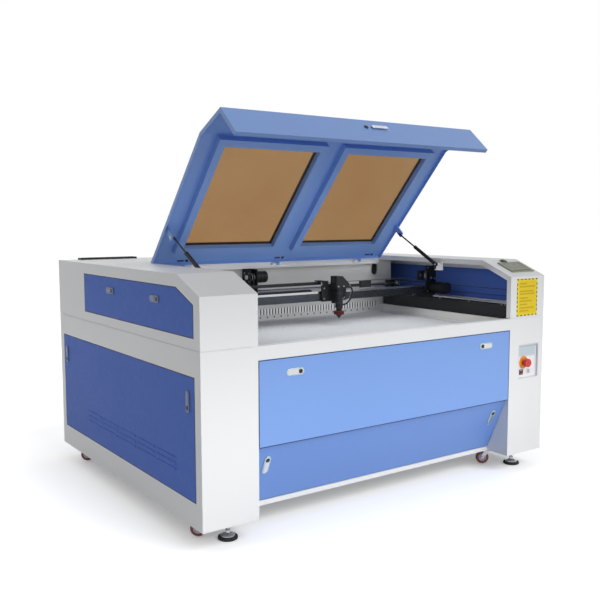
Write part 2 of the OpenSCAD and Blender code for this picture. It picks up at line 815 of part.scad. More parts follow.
// Frame with a row of slats from front to back, which carries the honeycomb
module slat_table() {
    cab() color("#c4c8cb") {
        for (x = [bed_x0 + 20 : slat_pitch : bed_x1 - 20])
            slab([x, bed_y0, slat_z], [x + slat_t, bed_y1, slat_z + slat_h]);
        difference() {
            slab([bed_x0 - frame_w, bed_y0 - frame_w, slat_z], [bed_x1 + frame_w, bed_y1 + frame_w, bed_h]);
            slab([bed_x0, bed_y0, slat_z - 1], [bed_x1, bed_y1, bed_h + 1]);
        }
    }
}

bed_x0 = bay_x0 + 3 + frame_w;
bed_x1 = bay_x1 - 3 - frame_w;
bed_y0 = rim_d + t + 2 + frame_w;
bed_y1 = bulkhead_y - 3 - frame_w;

module honeycomb_bed() {
    cab() color("#c6cacd") slab([bed_x0, bed_y0, bed_h - comb_t], [bed_x1, bed_y1, bed_h]);
}

// ---------- motion system ----------

module y_rails() {
    cab() color(black_metal) both_sides() {
        difference() {
            slab([rail_in - rail_w, rail_front, deck_h], [rail_in, rail_back, rail_top]);
            slab([rail_in - rail_w + 5, rail_front - 1, deck_h + 5], [rail_in - 5, rail_back + 1, rail_top - 5]);
        }
        slab([rail_in - rail_w / 2 - guide_w / 2, rail_front, rail_top],
             [rail_in - rail_w / 2 + guide_w / 2, shaft_y - 25, guide_top]);
        // bearing block of the drive shaft
        difference() {
            slab([rail_in - rail_w + 5, shaft_y - 18, rail_top], [rail_in - 5, shaft_y + 18, shaft_z + 20]);
            translate([rail_in - rail_w, shaft_y, shaft_z]) rotate([0, 90, 0])
                cylinder(d = shaft_d + 2 * pin_play, h = rail_w);
        }
        // bracket and idler at the front end of the long belt
        slab([belt_x - 1 - idler_t, idler_y - 15, deck_h], [belt_x - 1, idler_y + 15, shaft_z + 10]);
        slab([belt_x - 1 - idler_t, idler_y - 15, deck_h],
             [rail_in - rail_w, idler_y + 15, deck_h + idler_foot]);
        translate([belt_x - 1, idler_y, shaft_z]) rotate([0, 90, 0])
            cylinder(r = pulley_r - slide_play, h = belt_w + 2);
    }
}

// Closed belt round two pulleys, drawn in its own plane with the first pulley at the origin
module belt_loop(span, r) {
    difference() {
        union() {
            translate([0, -r - belt_t]) square([span, 2 * (r + belt_t)]);
            circle(r = r + belt_t);
            translate([span, 0]) circle(r = r + belt_t);
        }
        translate([0, -r]) square([span, 2 * r]);
        circle(r = r);
        translate([span, 0]) circle(r = r);
    }
}

module y_belts() {
    cab() color("#22262b") {
        both_sides() along_x(belt_x, belt_x + belt_w)
            translate([idler_y, shaft_z]) belt_loop(shaft_y - idler_y, pulley_r);
        // short belt from the motor to the shaft
        along_x(y_motor_x0 + 22, y_motor_x0 + 34)
            translate([shaft_y, shaft_z]) rotate(90) belt_loop(y_motor_z - shaft_z, motor_pulley_r);
    }
}

motor_pulley_r = 16;

module drive_shaft() {
    cab() color(steel) {
        translate([belt_x - 1, shaft_y, shaft_z]) rotate([0, 90, 0])
            cylinder(d = shaft_d, h = body_w - 2 * (belt_x - 1));
        both_sides() translate([belt_x - 1, shaft_y, shaft_z]) rotate([0, 90, 0])
            cylinder(r = pulley_r - slide_play, h = belt_w + 2);
        translate([y_motor_x0 + 20, shaft_y, shaft_z]) rotate([0, 90, 0])
            cylinder(r = motor_pulley_r - slide_play, h = 16);
    }
}

y_motor_z = shaft_z + 72;

module y_motor() {
    cab() color(black_metal) {
        difference() {
            union() {
                for (x = [y_motor_x0, y_motor_x1 - 5])
                    slab([x, shaft_y - 30, shaft_z - 26], [x + 5, bulkhead_y - 5, body_h - 46]);
                slab([y_motor_x0, bulkhead_y - 5, shaft_z - 26], [y_motor_x1, bulkhead_y, body_h - 46]);
            }
            translate([y_motor_x0 - 1, shaft_y, shaft_z]) rotate([0, 90, 0])
                cylinder(d = shaft_d + 2, h = y_motor_x1 - y_motor_x0 + 2);
        }
        translate([y_motor_x1, shaft_y, y_motor_z]) rotate([0, 90, 0]) cylinder(d = motor_d, h = y_motor_l);
        translate([y_motor_x0 + 5, shaft_y, y_motor_z]) rotate([0, 90, 0])
            cylinder(d = 8, h = y_motor_x1 - y_motor_x0 - 6);
        translate([y_motor_x0 + 20, shaft_y, y_motor_z]) rotate([0, 90, 0])
            cylinder(r = motor_pulley_r - slide_play, h = 16);
    }
}

module gantry_beam() {
    cab() color("#33373d") difference() {
        slab([rail_in - rail_w + 3, gantry_y, beam_z],
             [body_w - rail_in + rail_w - 3, gantry_y + beam_d, beam_top]);
        slab([0, gantry_y + beam_wall, beam_z + beam_wall],
             [body_w, gantry_y + beam_d - beam_wall, beam_top - beam_wall]);
    }
}

x_guide_y = gantry_y + 4;
x_guide_w = 12;
x_guide_h = 10;

module x_guide() {
    cab() color(steel) slab([bay_x0 + 8, x_guide_y, beam_top],
        [bay_x1 - 8, x_guide_y + x_guide_w, beam_top + x_guide_h]);
}

// Sliding block over a linear guide that runs along y, centred on x
module slide_block(x) {
    difference() {
        slab([x - 22, gantry_y - 25, rail_top + 3], [x + 22, gantry_y - 25 + block_l, block_z]);
        slab([x - guide_w / 2 - slide_play, gantry_y - 26, rail_top],
             [x + guide_w / 2 + slide_play, gantry_y - 24 + block_l, guide_top + slide_play]);
    }
}

module gantry_carriages() {
    cab() color(black_metal) {
        both_sides() {
            slide_block(rail_in - rail_w / 2);
            // clamp on the upper run of the long belt
            slab([belt_x + 1, gantry_y + 20, shaft_z + pulley_r + belt_t + slide_play],
                 [belt_x + belt_w + 14, gantry_y + 45, shaft_z + pulley_r + belt_t + 8]);
            slab([belt_x + belt_w + 4, gantry_y + 20, rail_top + 7],
                 [belt_x + belt_w + 14, gantry_y + 45, shaft_z + pulley_r + belt_t + 8]);
            slab([belt_x + belt_w + 4, gantry_y + 20, rail_top + 7],
                 [rail_in - rail_w + 5, gantry_y + 45, rail_top + 15]);
        }
        // left end plate with the idler of the head's belt
        slab([rail_in - rail_w + 3, gantry_y - 6, block_z - 1], [rail_in + 5, gantry_y, belt_line + 18]);
        translate([rail_in - 30, gantry_y - 3, belt_line]) rotate([-90, 0, 0]) cylinder(d = 8, h = 36);
        translate([rail_in - 30, belt_y, belt_line]) rotate([-90, 0, 0])
            cylinder(r = x_pulley_r - slide_play, h = belt_w - 1);
        // right end plate, which carries the motor and the mirror
        slab([body_w - rail_in, gantry_y - 6, block_z - 1], [body_w - rail_in + 70, gantry_y, body_h - 46]);
        slab([body_w - rail_in, gantry_y - 25, block_z - 1], [body_w - rail_in + 44, gantry_y - 6, block_z + 5]);
    }
}

x_motor_x = body_w - 158;
x_motor_z = block_z + 5 + motor_d / 2;

module x_motor() {
    cab() color(black_metal) {
        translate([x_motor_x, gantry_y - 6, x_motor_z]) rotate([90, 0, 0]) cylinder(d = motor_d, h = 112);
        translate([x_motor_x - 8, gantry_y, belt_line]) rotate([-90, 0, 0]) cylinder(d = 8, h = 33);
        translate([x_motor_x - 8, belt_y, belt_line]) rotate([-90, 0, 0])
            cylinder(r = x_pulley_r - slide_play, h = belt_w - 1);
    }
}

module x_belt() {
    cab() color("#22262b") along_y(belt_y, belt_y + belt_w - 1)
        translate([rail_in - 30, belt_line]) belt_loop(x_motor_x - 8 - (rail_in - 30), x_pulley_r);
}

module beam_mirror() {
    cab() color(black_metal) {
        // arm from the end plate, mirror plate at 45 degrees and its two knurled screws
        difference() {
            slab([mirror_x - 22, gantry_y - 14, beam_line - 25], [body_w - rail_in + 20, gantry_y - 6, beam_line + 25]);
            translate([mirror_x, gantry_y, beam_line]) rotate([90, 0, 0]) cylinder(d = 20, h = 20);
        }
        translate([mirror_x, head_y, beam_line]) rotate([0, 0, 45])
            translate([-24, -4, -22]) cube([48, 8, 44]);
        slab([mirror_x + 12, head_y + 12, beam_line - 22], [mirror_x + 20, gantry_y - 13, beam_line + 22]);
        for (dx = [24, 60]) translate([mirror_x + dx, gantry_y - 13, beam_line - 14])
            rotate([90, 0, 0]) cylinder(d = 12, h = 14);
    }
}

chain_y0 = gantry_y + beam_d - 14;
chain_w = 22;
chain_h = 18;
chain_r = 18;
chain_x = 380;
chain_z = beam_top + chain_h / 2;
chain_top = chain_z + 2 * chain_r + chain_h / 2;

// Cable chain: lower run on the beam, a half turn, and the upper run to the head
module cable_chain() {
    cab() color(black_metal) along_y(chain_y0, chain_y0 + chain_w) {
        translate([chain_x, chain_z - chain_h / 2]) square([560, chain_h]);
        translate([chain_x, chain_z + 2 * chain_r - chain_h / 2]) square([head_x - 40 - chain_x, chain_h]);
        translate([chain_x, chain_z + chain_r]) difference() {
            circle(r = chain_r + chain_h / 2);
            circle(r = chain_r - chain_h / 2);
            translate([0, -60]) square([60, 120]);
        }
    }
}

head_left = head_x - 72;
head_right = head_x + 74;
wing_x0 = head_x + 161;
wing_x1 = head_x + 228;

module head_carriage() {
    cab() color(black_metal) {
        slab([head_left, gantry_y - 12, beam_z - 2], [head_right, gantry_y - 4, beam_top + 40]);
        difference() {
            slab([head_x - 50, gantry_y - 4, beam_top + 3], [head_x + 50, x_guide_y + x_guide_w + 4, beam_top + 22]);
            slab([head_x - 51, x_guide_y - slide_play, beam_top],
                 [head_x + 51, x_guide_y + x_guide_w + slide_play, beam_top + x_guide_h + slide_play]);
        }
        // bracket over the end of the cable chain
        slab([head_x - 65, gantry_y - 12, beam_top + 39], [head_x - 35, gantry_y - 4, chain_top + 5]);
        slab([head_x - 65, gantry_y - 12, chain_top + slide_play],
             [head_x - 35, chain_y0 + chain_w, chain_top + 5]);
        // tongue between the runs of the belt
        slab([head_x - 30, gantry_y - 4, beam_top + 30], [head_x + 30, belt_y + belt_w, belt_line + 4]);
        // arm with the bracket on its right
        slab([head_right - 10, gantry_y - 12, beam_top + 24], [wing_x1, gantry_y - 6, beam_top + 38]);
        slab([wing_x0, gantry_y - 16, beam_top + 18], [wing_x1, gantry_y - 4, beam_top + 52]);
    }
}

tube_bottom = bed_h + 85;

module laser_head() {
    cab() color(black_metal) difference() {
        union() {
            translate([head_x, head_y, tube_bottom]) cylinder(d = head_d, h = beam_line - 36 - tube_bottom);
            // mirror housing with its slanted right side
            along_y(head_y - 24, head_y + 24) polygon([
                [head_x - 32, beam_line - 36], [head_x + 50, beam_line - 36], [head_x + 44, beam_line - 14],
                [head_x + 4, beam_line + 22], [head_x - 32, beam_line + 22]]);
            slab([head_x - 16, head_y, tube_bottom + 20], [head_x + 16, gantry_y - 12, beam_line - 40]);
            // nipples of the air hose
            translate([head_x + 40, head_y, hose_top]) rotate([0, 90, 0]) cylinder(d = 11, h = 12);
            translate([head_x + 10, head_y, hose_low]) rotate([0, 90, 0]) cylinder(d = 11, h = 14);
        }
        translate([head_x, head_y, tube_bottom - 1]) cylinder(d = head_d - 8, h = beam_line - 36 - tube_bottom - 20);
        translate([head_x, head_y, beam_line]) rotate([0, 90, 0]) cylinder(d = 20, h = 60);
        translate([head_x, head_y, tube_bottom + 40]) cylinder(d = 20, h = beam_line - tube_bottom - 40);
    }
}

nozzle_z = bed_h + 36;

module lens_tube() {
    cab() color("#7a2026") translate([head_x, head_y, 0]) difference() {
        union() {
            translate([0, 0, nozzle_z + 18]) cylinder(d = 50, h = 16);
            translate([0, 0, nozzle_z + 18]) cylinder(d = head_d - 8 - 2 * slide_play, h = tube_bottom - nozzle_z + 32);
            translate([0, 0, nozzle_z]) cylinder(d1 = 6, d2 = 34, h = 18);
        }
        translate([0, 0, nozzle_z - 1]) cylinder(d = 3, h = 40);
        translate([0, 0, nozzle_z + 30]) cylinder(d = 20, h = 120);
    }
}

// Air hose: a loop from the mirror housing down to a nipple on the head's tube
hose_d = 8;
hose_top = beam_line - 30;
hose_low = tube_bottom + 14;
hose_bends = [
    [52, 0, 1], [58, 0, 1], [67, -2, 0.965], [74, -3, 0.884], [78, -4, 0.767], [79, -4, 0.64],
    [77, -4, 0.512], [72, -4, 0.384], [65, -4, 0.267], [56, -3, 0.151], [46, -2, 0.058],
    [38, -1, 0.012], [30, 0, 0], [24, 0, 0]
];
hose_route = [for (b = hose_bends)
    [head_x + b[0], head_y + b[1], hose_low + b[2] * (hose_top - hose_low)]];

function heading(path, i) = let(
    a = path[max(i - 1, 0)], b = path[min(i + 1, len(path) - 1)]) (b - a) / norm(b - a);

// Ring of points round one point of a path that bends mostly in the x-z plane
function ring(path, i, r, n) = let(
    dir = heading(path, i), side = cross(dir, [0, 1, 0]) / norm(cross(dir, [0, 1, 0])),
    up = cross(side, dir))
    [for (k = [0 : n - 1]) path[i] + r * (cos(360 * k / n) * side + sin(360 * k / n) * up)];

module swept_tube(path, r, n = 10) {
    rings = len(path);
    points = [for (i = [0 : rings - 1]) each ring(path, i, r, n)];
    sides = [for (i = [0 : rings - 2], k = [0 : n - 1])
        [i * n + k, i * n + (k + 1) % n, (i + 1) * n + (k + 1) % n, (i + 1) * n + k]];
    polyhedron(points, concat(sides,
        [[for (k = [n - 1 : -1 : 0]) k]], [[for (k = [0 : n - 1]) (rings - 1) * n + k]]));
}

module air_hose() {
    cab() color("#202327") swept_tube(hose_route, hose_d / 2);
}

// ---------- laser and electrics ----------

module laser_tube() {
    cab() color("#c9d6da", 0.6) translate([tube_x0, tube_y, tube_z]) rotate([0, 90, 0]) {
        cylinder(d = tube_d, h = tube_l);
        translate([0, 0, tube_l]) cylinder(d = 34, h = 25);
    }
}

module tube_supports() {
    cab() color(black_metal) {
        for (x = [tube_x0 + 250, tube_x0 + tube_l - 250]) difference() {
            slab([x, tube_y - 52, deck_h + 30], [x + 30, tube_y + 52, tube_z + 10]);
            translate([x - 1, tube_y, tube_z]) rotate([0, 90, 0]) cylinder(d = tube_d + 2 * pin_play, h = 32);
        }
        // shelf that carries them, from side wall to side wall
        slab([t, tube_y - 70, deck_h + 26], [body_w - t, tube_y + 70, deck_h + 30]);
        both_sides() slab([t, tube_y - 70, deck_h + 26], [t + 4, tube_y + 70, deck_h + 60]);
        // mount of the first mirror
        slab([mirror_x - 40, tube_y - 45, deck_h + 30], [mirror_x + 40, tube_y + 45, deck_h + 38]);
        slab([mirror_x + 3, tube_y + 2, deck_h + 38], [mirror_x + 34, tube_y + 30, tube_z + 30]);
        translate([mirror_x, tube_y, tube_z]) rotate([0, 0, 45]) translate([-4, -30, -26]) cube([8, 60, 52]);
    }
}

supply_at = [60, 620, t];
supply_size = [160, 280, 150];

module laser_power_supply() {
    cab() color("#9aa0a6") translate(supply_at) {
        cube(supply_size);
        translate([supply_size[0] / 2, 1, supply_size[2] / 2 + 3]) rotate([90, 0, 0])
            cylinder(d = 20, h = 16);
    }
}

controller_size = [120, 260, 190];
socket_size = [100, 10, 22];

module motion_controller() {
    cab() color("#2b2f35") translate([body_w - 190, 500, t]) {
        cube(controller_size);
        for (z = [28, 68, 108]) translate([10, -socket_size[1], z]) cube(socket_size);
    }
}

module exhaust_collar() {
    cab() color(steel) translate([body_w / 2, body_d, exhaust_z]) rotate([-90, 0, 0])
        difference() {
            union() {
                cylinder(d = exhaust_d, h = exhaust_l);
                cylinder(d = exhaust_d + 40, h = 3);
            }
            translate([0, 0, -1]) cylinder(d = exhaust_d - 4, h = exhaust_l + 2);
        }
}

// ---------- controls ----------

module on_nose() {
    translate([0, 0, body_h - nose_h]) rotate([nose_a, 0, 0]) children();
}

display_y = 44;

module control_panel() {
    cab() color("#c5cbb8") on_nose() difference() {
        slab([body_w - 179, display_y, 0], [body_w - 179 + display_w, display_y + display_l, display_h]);
        slab([body_w - 179 + 12, display_y + 30, display_h - 2],
             [body_w - 179 + display_w - 12, display_y + display_l - 12, display_h + 1]);
    }
    // round cap of the data port behind it
    cab() color(black_metal) on_nose() translate([body_w - 120, display_y + display_l + 20, 0])
        cylinder(d = 28, h = 5);
}

module switch_plate() {
    cab() color("#b9bdc0") difference() {
        union() {
            slab([switch_x0 + 0.5, 0, switch_z0 + 0.5],
                 [switch_x0 + switch_w - 0.5, switch_d, switch_z0 + switch_h - 0.5]);
            slab([switch_x0 - 10, t, switch_z0 - 10],
                 [switch_x0 + switch_w + 10, 2 * t, switch_z0 + switch_h + 10]);
        }
        slab([switch_x0 + 2.5, -1, switch_z0 + 2.5],
             [switch_x0 + switch_w - 2.5, switch_d - 2, switch_z0 + switch_h - 2.5]);
        translate([stop_x, 0, stop_z]) rotate([-90, 0, 0]) cylinder(d = 22 + 2 * slide_play, h = 30);
        translate([stop_x + 35, 0, stop_z - 44]) rotate([-90, 0, 0]) cylinder(d = 18 + 2 * slide_play, h = 30);
        slab([stop_x - 16 - 10 - slide_play, 0, stop_z - 46 - 7 - slide_play],
             [stop_x - 16 + 10 + slide_play, 30, stop_z - 46 + 7 + slide_play]);
    }
}

module emergency_stop() {
    cab() color("#d0282c") translate([stop_x, switch_d, stop_z]) rotate([90, 0, 0]) {
        translate([0, 0, -30]) cylinder(d = 22, h = stop_face + 14);
        translate([0, 0, stop_face - 20]) cylinder(d1 = stop_d - 10, d2 = stop_d, h = 6);
        translate([0, 0, stop_face - 14]) cylinder(d = stop_d, h = 14);
    }
}

module key_switch() {
    cab() color(steel) translate([stop_x + 35, switch_d, stop_z - 44]) rotate([90, 0, 0]) {
        translate([0, 0, -20]) cylinder(d = 18, h = 26);
        translate([-2, -8, 5]) cube([4, 16, 10]);
    }
}

module power_switch() {
    cab() color("#d0282c") translate([stop_x - 16, switch_d - 1, stop_z - 46]) rotate([12, 0, 0])
        translate([-10, -5, -6]) cube([20, 10, 12]);
}

// ---------- wheels and feet ----------

module fork(x, y) {
    cab() color("#a7adb3") translate([x, y, 0]) rotate([0, 0, caster_turn]) {
        translate([0, 0, -4]) cylinder(d = 46, h = 4);
        translate([0, 0, -10]) cylinder(d = 24, h = 7);
        for (side = [-1, 1])
            along_y(side * (wheel_w / 2 + 2) - 1, side * (wheel_w / 2 + 2) + 1) polygon([
                [-14, -10], [14, -10], [trail + 9, axle_z + 2], [trail + 6, axle_z - 8],
                [trail - 6, axle_z - 8], [trail - 9, axle_z + 2]]);
        slab([-14, -wheel_w / 2 - 3, -12], [14, wheel_w / 2 + 3, -9]);
        translate([trail, 0, axle_z]) rotate([90, 0, 0]) cylinder(d = 8, h = wheel_w + 10, center = true);
    }
}

module front_left_fork() { fork(caster_xs[0], caster_ys[0]); }
module front_right_fork() { fork(caster_xs[1], caster_ys[0]); }
module rear_left_fork() { fork(caster_xs[0], caster_ys[1]); }
module rear_right_fork() { fork(caster_xs[1], caster_ys[1]); }

module wheel(x, y) {
    cab() color("#5a1a20") translate([x, y, 0]) rotate([0, 0, caster_turn])
        translate([trail, 0, axle_z]) rotate([90, 0, 0]) rotate_extrude() polygon([
            [4 + pin_play, -wheel_w / 2], [wheel_d / 2 - 4, -wheel_w / 2], [wheel_d / 2, -wheel_w / 2 + 5],
            [wheel_d / 2, wheel_w / 2 - 5], [wheel_d / 2 - 4, wheel_w / 2], [4 + pin_play, wheel_w / 2]]);
}

module front_left_wheel() { wheel(caster_xs[0], caster_ys[0]); }
module front_right_wheel() { wheel(caster_xs[1], caster_ys[0]); }
module rear_left_wheel() { wheel(caster_xs[0], caster_ys[1]); }
module rear_right_wheel() { wheel(caster_xs[1], caster_ys[1]); }

module levelling_feet() {
    cab() color(black_metal) for (x = foot_xs, y = foot_ys) translate([x, y, -ground_gap]) {
        cylinder(d = foot_d, h = foot_h * 0.6);
        translate([0, 0, foot_h * 0.6]) cylinder(d1 = foot_d, d2 = foot_d - 16, h = foot_h * 0.4);
        translate([0, 0, foot_h]) cylinder(d1 = foot_d - 24, d2 = 26, h = 10);
        cylinder(d = foot_screw, h = ground_gap);
        translate([0, 0, ground_gap - 10]) cylinder(d = 22, h = 10);
    }
}

lower_cabinet();
upper_cabinet();
bay_liner();
rear_bulkhead();
slat_table();
honeycomb_bed();
y_rails();
y_belts();
drive_shaft();
y_motor();
gantry_beam();
gantry_carriages();
x_guide();
x_motor();
x_belt();
beam_mirror();
cable_chain();
head_carriage();
laser_head();
lens_tube();
air_hose();
laser_tube();
tube_supports();
laser_power_supply();
motion_controller();
exhaust_collar();
lid_shell();
lid_windows();
lid_handle();
lid_hinges();
left_strut_cylinder();
left_strut_rod();
right_strut_cylinder();
right_strut_rod();
rear_hatch();
front_upper_panel();
front_lower_panel();
left_upper_panel();
left_lower_panel();
right_upper_panel();
right_lower_panel();
rear_panel();
front_upper_locks();
front_lower_locks();
left_upper_locks();
left_lower_locks();
control_panel();
switch_plate();
emergency_stop();
key_switch();
power_switch();
front_left_fork();
front_right_fork();
rear_left_fork();
rear_right_fork();
front_left_wheel();
front_right_wheel();
rear_left_wheel();
rear_right_wheel();
levelling_feet();
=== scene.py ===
"""Looks of the carbon dioxide laser cutting machine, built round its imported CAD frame.

Lengths are in metres. cab(x, y, z) turns cabinet coordinates (x from the left side, y from the
front face, z from the bottom edge) into the model's frame. The lid stands open in the model, and a
piece that is drawn in the coordinates of the shut lid is turned open with OPEN.
"""
import json
import math

import bmesh
import bpy
from mathutils import Matrix, Vector


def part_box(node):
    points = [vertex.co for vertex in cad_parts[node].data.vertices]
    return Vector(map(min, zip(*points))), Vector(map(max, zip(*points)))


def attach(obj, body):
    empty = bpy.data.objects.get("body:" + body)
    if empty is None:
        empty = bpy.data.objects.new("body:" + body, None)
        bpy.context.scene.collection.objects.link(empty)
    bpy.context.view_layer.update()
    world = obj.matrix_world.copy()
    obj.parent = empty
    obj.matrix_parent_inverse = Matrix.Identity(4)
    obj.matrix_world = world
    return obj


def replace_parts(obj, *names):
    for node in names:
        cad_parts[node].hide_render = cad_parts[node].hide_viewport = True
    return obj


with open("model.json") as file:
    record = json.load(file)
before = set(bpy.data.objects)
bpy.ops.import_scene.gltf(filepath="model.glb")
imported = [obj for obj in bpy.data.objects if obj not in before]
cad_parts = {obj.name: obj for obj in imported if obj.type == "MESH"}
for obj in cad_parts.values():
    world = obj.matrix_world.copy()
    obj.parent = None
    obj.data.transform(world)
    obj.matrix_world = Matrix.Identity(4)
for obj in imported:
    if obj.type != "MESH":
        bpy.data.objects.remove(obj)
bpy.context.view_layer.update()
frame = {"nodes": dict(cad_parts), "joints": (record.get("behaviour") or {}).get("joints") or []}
nodes = frame["nodes"]


def joint(name):
    return next(j for j in frame["joints"] if j["name"] == name)


# ---------- sizes of the cabinet and of its openings ----------

front, left, right, back = (0, -1, 0), (-1, 0, 0), (1, 0, 0), (0, 1, 0)
up, down = (0, 0, 1), (0, 0, -1)

corner, far_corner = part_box("lower_cabinet")
width, body_d = far_corner.x - corner.x, far_corner.y - corner.y
body_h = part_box("upper_cabinet")[1].z - corner.z
nose_d, nose_h = 0.172, 0.071
nose_angle = math.atan2(nose_h, nose_d)
panel_gap = 0.002

lid_angle = math.radians(joint("lid_hinge")["range_deg"][1])
hinge_point = Vector(joint("lid_hinge")["pos_m"])
OPEN = (Matrix.Translation(hinge_point) @ Matrix.Rotation(-lid_angle, 4, "X")
        @ Matrix.Translation(-hinge_point))


def cab(x, y, z):
    return corner + Vector((x, y, z))


def opening(panel, axis):
    """Two ends of the opening that a panel fills, along x (axis 0) or y (axis 1), and its foot and head."""
    low, high = (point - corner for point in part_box(panel))
    return low[axis] - panel_gap, high[axis] + panel_gap, low.z - panel_gap, high.z + panel_gap


front_opening = opening("front_upper_panel", 0)
column_w, split_z = front_opening[0], front_opening[2]


# ---------- colours and materials ----------

def linear(value):
    value /= 255
    return value / 12.92 if value <= 0.04045 else ((value + 0.055) / 1.055) ** 2.4


def rgb(red, green, blue):
    return (linear(red), linear(green), linear(blue), 1)


class Nodes:
    """A material's node tree, with short calls to add and join nodes."""

    def __init__(self, name):
        self.material = bpy.data.materials.new(name)
        self.material.use_nodes = True
        self.tree = self.material.node_tree
        self.shader = self.tree.nodes["Principled BSDF"]
        self.object_place = self.add("ShaderNodeTexCoord").outputs["Object"]

    def add(self, kind, **inputs):
        node = self.tree.nodes.new(kind)
        for key, value in inputs.items():
            node.inputs[key.replace("_", " ")].default_value = value
        return node

    def join(self, output, target):
        self.tree.links.new(output, target)

    def feed(self, output, name):
        """Joins an output to the shader's input of that name."""
        self.join(output, self.shader.inputs[name])

    def stretched(self, scale):
        mapping = self.add("ShaderNodeMapping")
        mapping.inputs["Scale"].default_value = scale
        self.join(self.object_place, mapping.inputs["Vector"])
        return mapping.outputs["Vector"]

    def noise(self, scale, detail=3.0, stretch=None):
        noise = self.add("ShaderNodeTexNoise", Scale=scale, Detail=detail)
        place = self.stretched(stretch) if stretch else self.object_place
        self.join(place, noise.inputs["Vector"])
        return noise.outputs["Fac"]

    def spread(self, value, low, high):
        """Turns a noise value into a number from low to high."""
        spread = self.add("ShaderNodeMapRange")
        for key, number in (("From Min", 0.3), ("From Max", 0.7), ("To Min", low), ("To Max", high)):
            spread.inputs[key].default_value = number
        self.join(value, spread.inputs["Value"])
        return spread.outputs["Result"]

    def work_out(self, operation, *values):
        """Result of a math node. The values are numbers or the outputs of other nodes."""
        node = self.add("ShaderNodeMath")
        node.operation = operation
        for socket, value in zip(node.inputs, values):
            if isinstance(value, bpy.types.NodeSocket):
                self.join(value, socket)
            else:
                socket.default_value = value
        return node.outputs["Value"]

    def mix(self, value, first, second):
        mix = self.add("ShaderNodeMix")
        mix.data_type = "RGBA"
        for socket in mix.inputs:
            if socket.type == "RGBA":
                socket.default_value = first if socket.name == "A" else second
        self.join(value, mix.inputs["Factor"])
        return next(o for o in mix.outputs if o.type == "RGBA")

    def bump(self, value, distance):
        bump = self.add("ShaderNodeBump", Distance=distance)
        self.join(value, bump.inputs["Height"])
        self.feed(bump.outputs["Normal"], "Normal")

    def set(self, **values):
        for key, value in values.items():
            self.shader.inputs[key.replace("_", " ")].default_value = value


def shade(color, factor):
    return tuple(min(1.0, c * factor) for c in color[:3]) + (1,)


def finish(name, color, rough, metal=0.0, vary=0.04, grain=60.0, bump=0.0, stretch=None, coat=0.0,
           **more):
    """A surface with slow changes of colour and roughness, and a fine relief."""
    paint = Nodes(name)
    slow = paint.noise(2.5, 2.0)
    paint.feed(paint.mix(slow, shade(color, 1 - vary), shade(color, 1 + vary)), "Base Color")
    fine = paint.noise(grain, 4.0, stretch)
    paint.feed(paint.spread(fine, rough * 0.85, min(1.0, rough * 1.15)), "Roughness")
    if bump:
        paint.bump(paint.noise(900.0, 2.0, stretch), bump)
    paint.set(Metallic=metal, Coat_Weight=coat, **more)
    return paint.material


white_paint = finish("white_paint", rgb(238, 239, 240), 0.42, vary=0.012, bump=0.00006, coat=0.05)
blue_paint = finish("blue_paint", rgb(128, 166, 231), 0.40, vary=0.02, bump=0.00006, coat=0.05)
# Painted shade: the blue paint made darker for the slanted lower front panel, which faces down and lies in
# shade.
shaded_slant_blue = finish("shaded_slant_blue", rgb(110, 149, 219), 0.40, vary=0.02, bump=0.00006, coat=0.05)
# Painted shade: a darker, duller copy of the blue paint for the side panels, for the shade on the machine's
# sides.
shaded_side_blue = finish("shaded_side_blue", rgb(88, 121, 207), 0.55, vary=0.03, bump=0.00006, Specular_IOR_Level=0.12)
liner_paint = finish("liner_paint", rgb(212, 212, 209), 0.5, vary=0.03, bump=0.00006)
black_paint = finish("black_paint", rgb(20, 21, 23), 0.5, vary=0.1, bump=0.00005, Specular_IOR_Level=0.3)
black_plastic = finish("black_plastic", rgb(22, 23, 25), 0.5, vary=0.1, bump=0.00008)
rail_paint = finish("rail_paint", rgb(20, 22, 26), 0.38, vary=0.15, grain=25.0, bump=0.00005)
rubber = finish("rubber", rgb(20, 21, 22), 0.75, vary=0.1, bump=0.0001)
zinc = finish("zinc", rgb(176, 180, 184), 0.32, 1.0, vary=0.08, grain=40.0)
chrome = finish("chrome", rgb(212, 214, 217), 0.12, 1.0, vary=0.02)
ground_steel = finish("ground_steel", rgb(196, 199, 203), 0.22, 1.0, vary=0.05, grain=20.0,
                      stretch=(1, 40, 40))
beam_finish = finish("beam_finish", rgb(66, 69, 76), 0.28, 0.85, vary=0.25, grain=12.0,
                     stretch=(1, 8, 8))
bed_aluminium = finish("bed_aluminium", rgb(222, 224, 226), 0.42, 0.3, vary=0.05, grain=15.0)
cell_floor = finish("cell_floor", rgb(200, 202, 205), 0.6, vary=0.04, grain=15.0)
maroon_plastic = finish("maroon_plastic", rgb(104, 28, 38), 0.3, vary=0.06, coat=0.2)
maroon_ring = finish("maroon_ring", rgb(128, 34, 40), 0.35, 0.5, vary=0.05)
red_plastic = finish("red_plastic", rgb(214, 44, 38), 0.28, vary=0.04, coat=0.2)
orange_disc = finish("orange_disc", rgb(240, 158, 40), 0.45, vary=0.03)
yellow_plate = finish("yellow_plate", rgb(247, 222, 38), 0.45, vary=0.02)
yellow_field = finish("yellow_field", rgb(236, 206, 20), 0.5, vary=0.02)
yellow_bar = finish("yellow_bar", rgb(206, 174, 14), 0.5, vary=0.02)
olive_plastic = finish("olive_plastic", rgb(146, 150, 128), 0.5, vary=0.05)
screen_glass = finish("screen_glass", rgb(102, 112, 84), 0.3, vary=0.12)
grey_plate = finish("grey_plate", rgb(226, 228, 234), 0.45, vary=0.02)
pale_label = finish("pale_label", rgb(196, 210, 217), 0.4, vary=0.04)
lock_metal = finish("lock_metal", rgb(196, 208, 210), 0.3, 0.55, vary=0.06)
# Painted shade: a darker copy of the lock metal for the locks on the side panels, for the shade and dark
# reflections there.
shaded_side_lock_metal = finish("shaded_side_lock_metal", rgb(94, 106, 136), 0.38, 0.5, vary=0.06)
